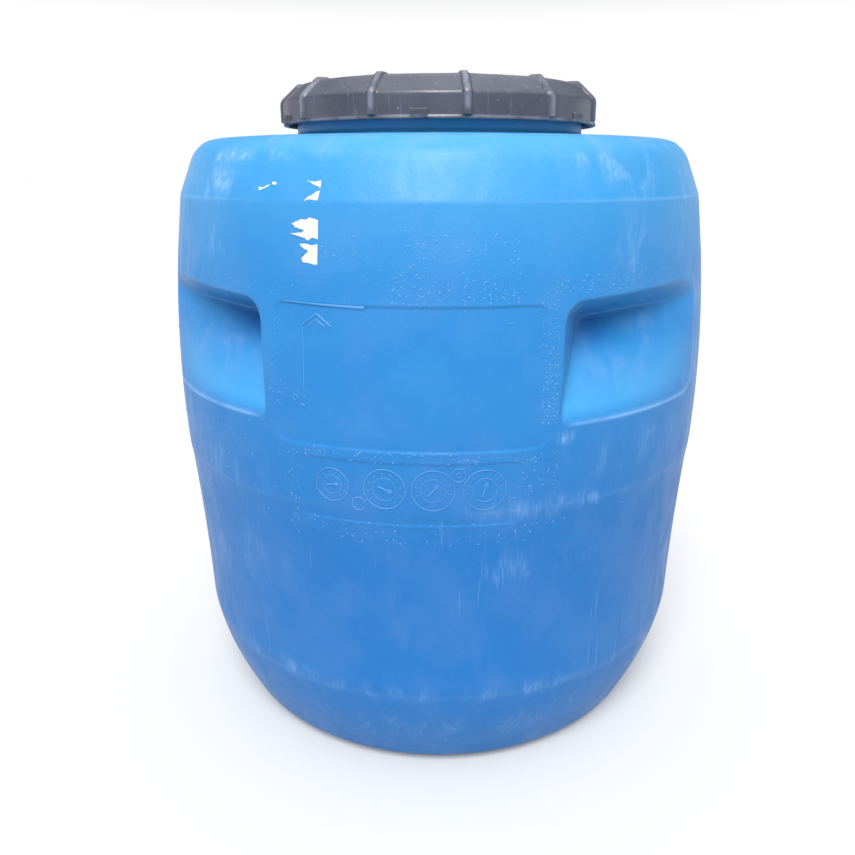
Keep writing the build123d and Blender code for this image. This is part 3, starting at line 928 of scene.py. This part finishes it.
def torn_edge(outline, draw):
    """An outline with short ragged steps between its points; the cut right edge stays straight."""
    points = []
    for (x1, z1), (x2, z2) in zip(outline, outline[1:] + outline[:1]):
        length = math.hypot(x2 - x1, z2 - z1)
        steps = max(1, int(length / 1.1))
        straight = x1 > -1.5 and x2 > -1.5
        for step in range(steps):
            share = step / steps
            shake = 0 if step == 0 or straight else draw.uniform(-0.38, 0.38)
            away = ((z2 - z1) / length * shake, -(x2 - x1) / length * shake)
            points.append((x1 + (x2 - x1) * share + away[0], z1 + (z2 - z1) * share + away[1]))
    return points


def paper_scraps(material):
    pile = Pile()
    draw = np.random.default_rng(PAPER_SEED)
    for outline in PAPER_SCRAPS:
        edge = np.array(torn_edge(outline, draw))
        azimuths = PAPER_CORNER[0] + np.degrees(edge[:, 0] * MM / (BELLY - 20 * MM))
        heights = (PAPER_CORNER[1] + edge[:, 1]) * MM
        points, normals = on_wall(azimuths, heights)
        curl = np.clip((-edge[:, 0] - 6) / 20, 0, 1) * 0.5 * MM * (len(outline) > 8)
        low = points + normals * PAPER_LIFT
        high = points + normals * (PAPER_LIFT + PAPER_THICKNESS + curl)[:, None]
        count = len(edge)
        faces = [tuple(range(count, 2 * count)), tuple(range(count - 1, -1, -1))]
        faces += quads(0, count, count)
        pile.add(np.concatenate([low, high]), faces)
    return build_mesh("paper_scraps", pile.points, pile.faces, material, "drum", smooth=False)


# ---- screw lid ----
LID_TOP = lid_high.z - 1.6 * MM
LID_RIM = lid_low.z
LID_RADIUS = 171.3 * MM
LID_BORE = 167.0 * MM
LID_CROWN = LID_RADIUS - 20.5 * MM
LID_RECESS = LID_CROWN - 13.0 * MM
LID_FLOOR = LID_TOP - 9.0 * MM
LID_WALL = 3.5 * MM
LID_CREASE = LID_TOP - 17.4 * MM
LID_SHOULDER = LID_TOP - 22 * MM
LID_STEP = 0.3 * MM
RECESS_SLOPE = 8 * MM
RIB_RISE = 3.0 * MM
RIB_HALF = 4.6 * MM
BAY_HOLLOW = 0.5 * MM
RIB_AZIMUTHS = 14.0 + 30.0 * np.arange(12)
LUG_AZIMUTHS = -1.0 + 60.0 * np.arange(6)
SPOKE_RISE = 2.5 * MM
HUB = 32.5 * MM


def lid_side():
    """The lid's outside from the rim up to the recess floor, at even steps with eased corners."""
    corners = np.array([
        (LID_RADIUS + 0.5 * MM, LID_RIM + 0.6 * MM),
        (LID_RADIUS + 0.5 * MM, LID_RIM + 2.6 * MM),
        (LID_RADIUS, LID_RIM + 3.4 * MM),
        (LID_RADIUS, LID_CREASE),
        (LID_CROWN + 2.2 * MM, LID_TOP - 0.9 * MM),
        (LID_CROWN - 2.0 * MM, LID_TOP),
        (LID_RECESS, LID_TOP),
        (LID_RECESS - RECESS_SLOPE, LID_FLOOR),
        (LID_RECESS - 24 * MM, LID_FLOOR),
    ])
    along = lengths_along(corners)
    line = sampled(corners, along, np.arange(0, along[-1], LID_STEP))
    soft = smooth_rows(line, 1.9 * MM / LID_STEP)
    crisp = smooth_rows(line, 0.5 * MM / LID_STEP)
    share = np.clip((line[:, 1] - LID_RIM - 6 * MM) / (6 * MM), 0, 1)[:, None]
    return crisp * (1 - share) + soft * share


def nearest(azimuths, marks, radius):
    """The distance along the wall to the nearest of some azimuths."""
    off = np.abs(away_from(azimuths[:, None], marks[None, :])).min(1)
    return np.radians(off) * radius


def lid_columns(count):
    """Columns of the lid's outside: close together at the ribs."""
    spots = [(mark % 360, 1.6, 9) for mark in RIB_AZIMUTHS]
    return spread_by_density(0, 360, count + 1, spots)[:-1]


def rounded(share):
    """A half-round ridge over its half width, with a soft foot."""
    share = np.clip(share, 0, 1)
    return np.sqrt(np.clip(1 - share**2, 0, 1)) * np.clip((1 - share) * 4, 0, 1) ** 0.5


def lid_skin(material):
    skin = Rings()
    plain, threaded, columns = circle(120), circle(216), lid_columns(420)
    # inside, from the middle out and down to the rim
    skin.pole(LID_FLOOR - LID_WALL)
    foot = LID_RECESS - RECESS_SLOPE - LID_WALL / 2
    for radius in (30 * MM, 80 * MM, foot - 3 * MM):
        skin.ring(plain, radius, LID_FLOOR - LID_WALL)
    under = [(foot, LID_FLOOR - LID_WALL + 0.6 * MM), (LID_RECESS - LID_WALL / 2, LID_TOP - LID_WALL)]
    under += [(LID_CROWN + LID_WALL, LID_TOP - LID_WALL), (LID_BORE, LID_SHOULDER)]
    for start, end in zip(under, under[1:]):
        for share in (0.0, 0.25, 0.5, 0.75):
            radius = start[0] + (end[0] - start[0]) * share
            skin.ring(plain, radius, start[1] + (end[1] - start[1]) * share)
    for height in np.linspace(LID_SHOULDER, LID_RIM + 0.8 * MM, 36):
        ridge = thread_ridge(threaded, height, LID_THREAD_START, LID_THREAD_WIDTHS)
        skin.ring(threaded, LID_BORE - ridge, height)
    skin.ring(columns, LID_BORE + 0.6 * MM, LID_RIM)
    skin.ring(columns, LID_RADIUS - 0.3 * MM, LID_RIM)
    # outside, from the rim up over the ribs and in to the recess
    line = lid_side()
    normal, along = outward_normals(line), lengths_along(line)
    recess_place = along[np.argmin(np.abs(line[:, 0] - LID_RECESS))]
    crease_place = along[np.argmin(np.abs(line[:, 1] - LID_CREASE))]
    spots = [(3 * MM, 2 * MM, 4), (crease_place, 6 * MM, 2), (recess_place - 14 * MM, 6 * MM, 2.5)]
    for place in spread_by_density(0, along[-1], 62, spots):
        radius, height = sampled(line, along, [place])[0]
        out, up = sampled(normal, along, [place])[0]
        ends = np.clip((height - LID_RIM - 2.6 * MM) / (1.2 * MM), 0, 1)
        ends *= np.clip((recess_place - 2 * MM - place) / (10 * MM), 0, 1) ** 0.6
        off = nearest(columns, RIB_AZIMUTHS, radius)
        rise = RIB_RISE * ends * rounded(off / RIB_HALF)
        # each bay between two ribs is slightly hollow
        rise = rise - BAY_HOLLOW * ends * eased(np.clip(off / (22 * MM), 0, 1))
        top = np.minimum(height + up * rise, lid_high.z)
        skin.ring(columns, radius + out * rise, top)
    # the recess floor, with its spokes and hub ring
    inner = LID_RECESS - 26 * MM
    spokes = circle(8)
    centre = spread_by_density(0, 360, 241, [(mark, 1.5, 6) for mark in spokes])[:-1]
    near_hub = np.linspace(36 * MM, 28 * MM, 9)
    for radius in np.concatenate([np.linspace(inner, 40 * MM, 14), near_hub, [20 * MM, 8 * MM]]):
        spoke = rounded(nearest(centre, spokes, radius) / (2.4 * MM)) * (radius > HUB)
        spoke = spoke * np.clip((inner - radius) / (6 * MM), 0, 1)
        hub = rounded(abs(radius - HUB) / (2.2 * MM))
        skin.ring(centre, radius, LID_FLOOR + SPOKE_RISE * np.maximum(spoke, hub))
    skin.pole(LID_FLOOR)
    return skin.build("lid_skin", material, "lid")


LUG_HALF = 8.5
LUG_RIDGES = 6


def lid_lugs(material):
    """Grip lugs on the rim, each with fine upright ridges."""
    pile = Pile()
    across = np.linspace(-LUG_HALF, LUG_HALF, 49)
    ups = np.array([-0.5, 0.0, 0.6, 1.2, 3.0, 5.0, 7.0, 8.0, 8.6, 9.2, 9.8])
    for azimuth in LUG_AZIMUTHS:
        points = []
        for up in ups:
            edge = min(1, max(0, (up + 0.1) / 1.0)) * min(1, max(0, (9.6 - up) / 1.2))
            side = np.clip((LUG_HALF - np.abs(across)) / 0.9, 0, 1)
            ridge = 0.5 + 0.5 * np.cos(across / (2 * LUG_HALF) * LUG_RIDGES * math.tau)
            rise = (1.5 + 0.8 * ridge) * np.sqrt(edge) * np.sqrt(side) - 0.8 * (side * edge == 0)
            turn = np.radians(azimuth + np.degrees(across * MM / LID_RADIUS))
            radius = LID_RADIUS + rise * MM
            height = LID_RIM + max(up, 0.0) * MM
            x, y = radius * np.sin(turn), -radius * np.cos(turn)
            points.append(np.stack([x, y, 0 * turn + height], 1))
        rows, columns = len(ups), len(across)
        faces = []
        for i in range(rows - 1):
            faces += quads(i * columns, (i + 1) * columns, columns, closed=False)
        rim = list(range(columns)) + [i * columns + columns - 1 for i in range(1, rows)]
        rim += [(rows - 1) * columns + j for j in range(columns - 2, -1, -1)]
        rim += [i * columns for i in range(rows - 2, 0, -1)]
        faces.append(tuple(rim[::-1]))
        pile.add(np.concatenate(points), faces)
    return pile.build("lid_lugs", material, "lid")


# ---- materials ----
# the colour sockets of a mix node, which share their names with its other kinds
MIX_FIRST, MIX_SECOND, MIX_RESULT = 6, 7, 2


class Look:
    """A Principled material, with short calls for the nodes that feed it."""

    def __init__(self, name):
        self.material = bpy.data.materials.new(name)
        self.material.use_nodes = True
        self.tree = self.material.node_tree
        self.shader = self.tree.nodes["Principled BSDF"]
        self.place = self.node("ShaderNodeTexCoord").outputs["Object"]

    def node(self, kind, **settings):
        node = self.tree.nodes.new(kind)
        for key, value in settings.items():
            setattr(node, key, value)
        return node

    def feed(self, socket, value):
        if isinstance(value, bpy.types.NodeSocket):
            self.tree.links.new(value, socket)
        else:
            socket.default_value = value

    def set(self, **values):
        for key, value in values.items():
            self.feed(self.shader.inputs[key.replace("_", " ")], value)

    def scaled(self, scale, turn=(0, 0, 0)):
        mapping = self.node("ShaderNodeMapping")
        self.feed(mapping.inputs["Vector"], self.place)
        mapping.inputs["Scale"].default_value = scale
        mapping.inputs["Rotation"].default_value = [math.radians(angle) for angle in turn]
        return mapping.outputs["Vector"]

    def noise(self, scale, detail=3.0, place=None, warp=0.0):
        noise = self.node("ShaderNodeTexNoise")
        self.feed(noise.inputs["Vector"], place or self.place)
        noise.inputs["Scale"].default_value = scale
        noise.inputs["Detail"].default_value = detail
        noise.inputs["Distortion"].default_value = warp
        return noise.outputs["Fac"]

    def between(self, value, low, high, bottom=0.0, top=1.0):
        span = self.node("ShaderNodeMapRange", interpolation_type="SMOOTHSTEP")
        self.feed(span.inputs["Value"], value)
        for key, number in (("From Min", low), ("From Max", high), ("To Min", bottom), ("To Max", top)):
            span.inputs[key].default_value = number
        return span.outputs["Result"]

    def maths(self, how, first, second):
        node = self.node("ShaderNodeMath", operation=how)
        self.feed(node.inputs[0], first)
        self.feed(node.inputs[1], second)
        return node.outputs[0]

    def times(self, first, second):
        return self.maths("MULTIPLY", first, second)

    def blend(self, share, first, second):
        node = self.node("ShaderNodeMix", data_type="RGBA")
        self.feed(node.inputs["Factor"], share)
        self.feed(node.inputs[MIX_FIRST], first)
        self.feed(node.inputs[MIX_SECOND], second)
        return node.outputs[MIX_RESULT]

    def cloud(self, scale, detail, low, high, warp=0.0):
        """Soft patches: noise spread from 0 to 1 between two of its values."""
        return self.between(self.noise(scale, detail, warp=warp), low, high)

    def over(self, base, share, strength, coat):
        """A coat of colour laid over the base by a share of some strength."""
        return self.blend(self.times(share, strength), base, coat)

    def channel(self, attribute):
        node = self.node("ShaderNodeAttribute", attribute_name=attribute)
        return node.outputs["Fac"]

    def bumps(self, *layers):
        """Bumps of (height, distance in metres), one on top of another."""
        normal = None
        for height, distance in layers:
            bump = self.node("ShaderNodeBump")
            bump.inputs["Distance"].default_value = distance
            self.feed(bump.inputs["Height"], height)
            if normal:
                self.feed(bump.inputs["Normal"], normal)
            normal = bump.outputs["Normal"]
        self.set(Normal=normal)


BLUE = colour(0.016, 0.166, 0.420)
BLUE_DEEP = colour(0.006, 0.138, 0.405)
BLUE_FADED = colour(0.022, 0.192, 0.455)
# the next two stand for painted shade and painted light
BLUE_PAINTED_SHADE = colour(0.005, 0.108, 0.345)
BLUE_PAINTED_LIGHT = colour(0.050, 0.285, 0.540)
SCUFF = colour(0.30, 0.46, 0.72)
DUST = colour(0.26, 0.32, 0.54)
# pale specks and wear, also used for painted highlights on the edge share
PALE_WEAR_AND_HIGHLIGHT = colour(0.30, 0.52, 0.78)


def blue_plastic():
    look = Look("blue_moulding")
    patches = look.cloud(5.0, 4.0, 0.35, 0.68, warp=0.6)
    cloudy = look.cloud(17.0, 5.0, 0.4, 0.72)
    base = look.over(BLUE, patches, 0.55, BLUE_FADED)
    base = look.over(base, look.cloud(9.0, 3.0, 0.5, 0.75), 0.5, BLUE_DEEP)
    # painted shade, then painted light, laid into the blue by the stored shares
    base = look.blend(look.channel("low"), base, BLUE_PAINTED_SHADE)
    base = look.blend(look.channel("high"), base, BLUE_PAINTED_LIGHT)
    smear = look.noise(34.0, 7.0, look.scaled((1.0, 1.0, 0.45), (0, 14, 0)), 0.8)
    fine = look.noise(420.0, 5.0, look.scaled((1.0, 1.0, 0.12), (0, 18, 0)), 0.4)
    hair = look.noise(210.0, 4.0, look.scaled((1.0, 1.0, 0.05), (0, 32, 0)), 0.3)
    hairline = look.between(hair, 0.63, 0.72)
    hairline = look.times(hairline, look.cloud(6.0, 3.0, 0.45, 0.68))
    patch = look.times(look.channel("rub"), look.between(smear, 0.44, 0.66))
    rub = look.times(patch, look.between(fine, 0.38, 0.66, 0.25, 1.0))
    base = look.over(base, cloudy, 0.05, DUST)
    dust = look.times(look.channel("dust"), look.between(smear, 0.40, 0.72))
    base = look.over(base, dust, 0.38, DUST)
    base = look.over(base, rub, 0.62, SCUFF)
    base = look.over(base, hairline, 0.14, SCUFF)
    crumb = look.cloud(300.0, 3.0, 0.68, 0.76)
    base = look.over(base, crumb, 0.08, PALE_WEAR_AND_HIGHLIGHT)
    # pale on the "edge" share: painted highlights along the seam crease, the grip lips and the raised
    # marks, with rub wear on the lips
    broken = look.cloud(22.0, 4.0, 0.05, 0.6)
    base = look.over(base, look.times(look.channel("edge"), broken), 0.5, PALE_WEAR_AND_HIGHLIGHT)
    rough = look.between(smear, 0.3, 0.7, 0.36, 0.52)
    rough = look.maths("ADD", rough, look.times(rub, 0.15))
    look.set(Base_Color=base, Roughness=rough, Specular_IOR_Level=0.24)
    peel = look.noise(330.0, 2.0)
    ripple = look.noise(38.0, 3.0)
    look.bumps((ripple, 0.0009), (peel, 0.00022), (hairline, 0.0001))
    return look.material


def black_plastic():
    look = Look("black_lid")
    grey, pale = colour(0.043, 0.046, 0.066), colour(0.27, 0.28, 0.34)
    cloud = look.cloud(14.0, 5.0, 0.35, 0.7, warp=0.5)
    base = look.over(grey, cloud, 0.5, colour(0.082, 0.086, 0.116))
    hair = look.noise(170.0, 4.0, look.scaled((1.0, 1.0, 0.10), (0, 20, 0)), 0.3)
    hairline = look.between(hair, 0.6, 0.7)
    base = look.over(base, hairline, 0.12, pale)
    # pale on the "edge" share: worn ribs and rim, and a painted highlight along the crown
    broken = look.cloud(55.0, 5.0, 0.36, 0.6)
    base = look.over(base, look.times(look.channel("edge"), broken), 0.5, pale)
    speck = look.cloud(300.0, 2.0, 0.68, 0.74)
    base = look.over(base, speck, 0.35, pale)
    rough = look.between(look.noise(24.0, 4.0), 0.3, 0.7, 0.30, 0.46)
    look.set(Base_Color=base, Roughness=rough)
    look.bumps((look.noise(420.0, 2.0), 0.00012), (look.noise(30.0, 3.0), 0.0005))
    return look.material


def seal_rubber():
    look = Look("seal_rubber")
    mottled = look.cloud(60.0, 4.0, 0.35, 0.7)
    base = look.blend(mottled, colour(0.030, 0.030, 0.032), colour(0.055, 0.055, 0.058))
    powder = look.cloud(120.0, 3.0, 0.62, 0.75)
    base = look.over(base, powder, 0.3, colour(0.25, 0.25, 0.26))
    look.set(Base_Color=base, Roughness=look.between(mottled, 0, 1, 0.62, 0.8))
    look.bumps((look.noise(500.0, 2.0), 0.0001))
    return look.material


def natural_plastic():
    look = Look("natural_plastic")
    cloud = look.cloud(12.0, 4.0, 0.35, 0.7)
    base = look.blend(cloud, colour(0.74, 0.74, 0.68), colour(0.62, 0.61, 0.53))
    stain = look.cloud(35.0, 5.0, 0.62, 0.78, warp=1.0)
    base = look.over(base, stain, 0.35, colour(0.36, 0.31, 0.2))
    look.set(Base_Color=base, Roughness=look.between(cloud, 0, 1, 0.34, 0.5))
    look.set(Subsurface_Weight=0.15, Subsurface_Scale=0.004)
    look.bumps((look.noise(40.0, 3.0), 0.0006), (look.noise(420.0, 2.0), 0.0001))
    return look.material


def label_paper():
    look = Look("label_paper")
    fibre = look.noise(700.0, 5.0, look.scaled((1.0, 1.0, 0.5), (0, 30, 0)))
    base = look.blend(look.between(fibre, 0.35, 0.7), colour(0.62, 0.62, 0.61), colour(0.50, 0.51, 0.54))
    stain = look.cloud(90.0, 4.0, 0.55, 0.8)
    base = look.over(base, stain, 0.5, colour(0.40, 0.36, 0.42))
    look.set(Base_Color=base, Roughness=0.9)
    look.bumps((fibre, 0.0002))
    return look.material


# ---- wear, painted light and painted shade, kept on the meshes as shares from 0 to 1 ----


def places_of(piece):
    """The azimuth, height and radius of each point."""
    flat = np.empty(len(piece.data.vertices) * 3)
    piece.data.vertices.foreach_get("co", flat)
    x, y, height = flat.reshape(-1, 3).T
    return np.degrees(np.arctan2(x, -y)), height, np.hypot(x, y)


def store(piece, name, values):
    layer = piece.data.attributes.new(name, "FLOAT", "POINT")
    layer.data.foreach_set("value", np.clip(values, 0, 1).astype(np.float32))


def blots(azimuth, height, places):
    """The sum of soft spots given as azimuth, height, their half widths, and strength."""
    total = np.zeros(len(azimuth))
    for middle_a, middle_z, wide, tall, strength in places:
        across = (away_from(azimuth, middle_a) / wide) ** 2
        total += strength * np.exp(-across - (((height - middle_z * MM) / (tall * MM)) ** 2))
    return total


RUB_PLACES = [
    (-40, 621, 20, 4, 1.1), (-62, 600, 7, 10, 0.9), (-41, 597, 6, 13, 0.9), (-75, 615, 16, 14, 0.8),
    (-56, 553, 6, 8, 0.5), (-38, 549, 5, 16, 0.6), (-30, 596, 6, 5, 0.3), (52, 606, 16, 12, 0.9),
    (38, 618, 12, 5, 0.6), (70, 590, 14, 26, 0.8), (44, 548, 7, 34, 0.45), (60, 540, 9, 30, 0.4),
    (27, 383, 2.5, 5, 0.9), (48, 360, 14, 20, 0.5), (30, 318, 18, 9, 0.5), (-48, 330, 16, 26, 0.5),
    (-40, 240, 14, 40, 0.25), (20, 262, 14, 14, 0.35), (-20, 118, 40, 9, 0.4),
    (30, 112, 34, 7, 0.4), (0, 60, 80, 22, 0.3), (120, 600, 26, 18, 0.8), (205, 605, 24, 14, 0.9),
    (165, 560, 14, 26, 0.4), (250, 595, 16, 20, 0.7), (150, 330, 24, 24, 0.5), (230, 250, 26, 60, 0.35),
    (180, 90, 60, 26, 0.5),
]
DUST_PLACES = [
    (-8, 628, 90, 9, 0.5), (48, 440, 12, 26, 0.9), (-48, 440, 12, 26, 0.9), (132, 440, 12, 26, 0.8),
    (228, 440, 12, 26, 0.8), (0, 636, 180, 6, 0.7), (55, 470, 12, 14, 0.6), (10, 368, 8, 5, 0.7),
    (-17, 372, 2, 5, 0.8), (16, 316, 8, 6, 0.6), (70, 400, 12, 80, 0.4), (-72, 400, 12, 80, 0.4),
    (-5, 180, 40, 60, 0.2), (180, 620, 60, 10, 0.5), (90, 330, 30, 30, 0.4), (-30, 300, 12, 10, 0.4),
]


def painted_light_and_shade(piece):
    """Painted shade and painted light in the plastic's colour: darker towards the bottom and in each
    grip's deep corner, lighter towards the shoulder and low in each grip.
    """
    azimuth, height, _ = places_of(piece)
    held = np.clip((wall_radius(height) - grip_radius(azimuth, height) - 0.5 * MM) / (7 * MM), 0, 1)
    # painted shade: darker towards the bottom, outside the grips
    low = 0.75 * np.clip((445 * MM - height) / (170 * MM), 0, 1) * (1 - held)
    # painted shade in each grip's deep corner, under its ceiling
    across = ((folded(azimuth) - GRIP_DEEP) / 7) ** 2
    corner = np.exp(-across - (((height - GRIP_TOP + 36 * MM) / (17 * MM)) ** 2))
    # painted light: lighter towards the shoulder
    high = 0.75 * np.clip((height - 520 * MM) / (110 * MM), 0, 1)
    # painted light on the lower part of each grip's inside
    painted_grip_floor_light = 0.8 * held * np.clip(1.1 - (height - GRIP_BOTTOM) / (62 * MM), 0, 1)
    # the "low" share is painted shade and the "high" share is painted light
    store(piece, "low", low + 0.9 * corner * held)
    store(piece, "high", high + painted_grip_floor_light)


def wear_and_painted_light_on_drum(piece):
    azimuth, height, radius = places_of(piece)
    outside = radius > BELLY - 70 * MM
    turn = np.radians(azimuth)
    wave = 0.6 + 0.4 * np.sin(turn * 23 + 40 * height) * np.sin(turn * 9 + 1.7)
    store(piece, "rub", blots(azimuth, height, RUB_PLACES) * outside)
    store(piece, "dust", blots(azimuth, height, DUST_PLACES) * outside * wave)
    # painted shade and painted light
    painted_light_and_shade(piece)
    fold = folded(azimuth)
    # painted highlight: a thin pale line along the seam's crease
    painted_seam_highlight = bell(height, SEAM[1], 1.2 * MM) * np.clip((np.abs(azimuth + 4) - 14) / 30, 0.1, 1)
    # each grip's mouth is made pale along its lower lip, round its outer corner and a little way up:
    # partly rub wear, partly a painted highlight on the lip
    mouth = bell(grip_mouth(fold, height), -1.6 * MM, 1.6 * MM)
    mouth *= np.clip((fold - 27) / 3, 0, 1)
    mouth *= np.clip((GRIP_TOP - 40 * MM - height) / (30 * MM), 0, 1)
    step = 0.15 * bell(height, STEP_HIGH[1], 2.5 * MM) * np.clip(np.abs(azimuth) / 60, 0, 1)
    waist = 0.10 * bell(height, BOWL_TOP[1], 2.5 * MM)
    # the "edge" share: a painted highlight along the seam, rub wear and a painted highlight on the lips,
    # faint pale lines at the step and the waist
    store(piece, "edge", (painted_seam_highlight * 0.35 + mouth * 0.85 + step + waist) * outside)


def wear_and_highlight_on_lid(piece):
    azimuth, height, radius = places_of(piece)
    off = nearest(azimuth, RIB_AZIMUTHS, LID_RADIUS)
    rib = np.clip(1.2 - off / (3.6 * MM), 0, 1) * (radius > LID_RECESS)
    # painted highlight: a pale line along the crown's edge
    painted_crown_highlight = bell(radius, LID_CROWN, 3 * MM) * (height > LID_TOP - 4 * MM)
    rim = bell(height, LID_RIM + 1.5 * MM, 1.8 * MM) * (radius > LID_BORE + 2 * MM)
    # the "edge" share: rub wear on the ribs and rim, and a painted highlight on the crown
    store(piece, "edge", rib + 0.5 * painted_crown_highlight + 0.7 * rim)


def make_object():
    blue, black = blue_plastic(), black_plastic()
    drum = drum_skin(blue)
    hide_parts("drum_body")
    wear_and_painted_light_on_drum(drum)
    marks, seams = moulded_marks(blue), parting_lines(blue)
    # painted shade and painted light on the marks and parting lines too
    for piece in (marks, seams):
        painted_light_and_shade(piece)
    # painted highlight: the raised marks and blisters made paler all over
    store(marks, "edge", np.full(len(marks.data.vertices), 0.35))
    lid = lid_skin(black)
    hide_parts("screw_lid")
    lugs = lid_lugs(black)
    wear_and_highlight_on_lid(lid)
    wear_and_highlight_on_lid(lugs)
    paper = paper_scraps(label_paper())
    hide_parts("label_remains")
    for node, material in (("lid_gasket", seal_rubber()), ("inner_lid", natural_plastic())):
        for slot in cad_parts[node].material_slots:
            slot.material = material


make_object()
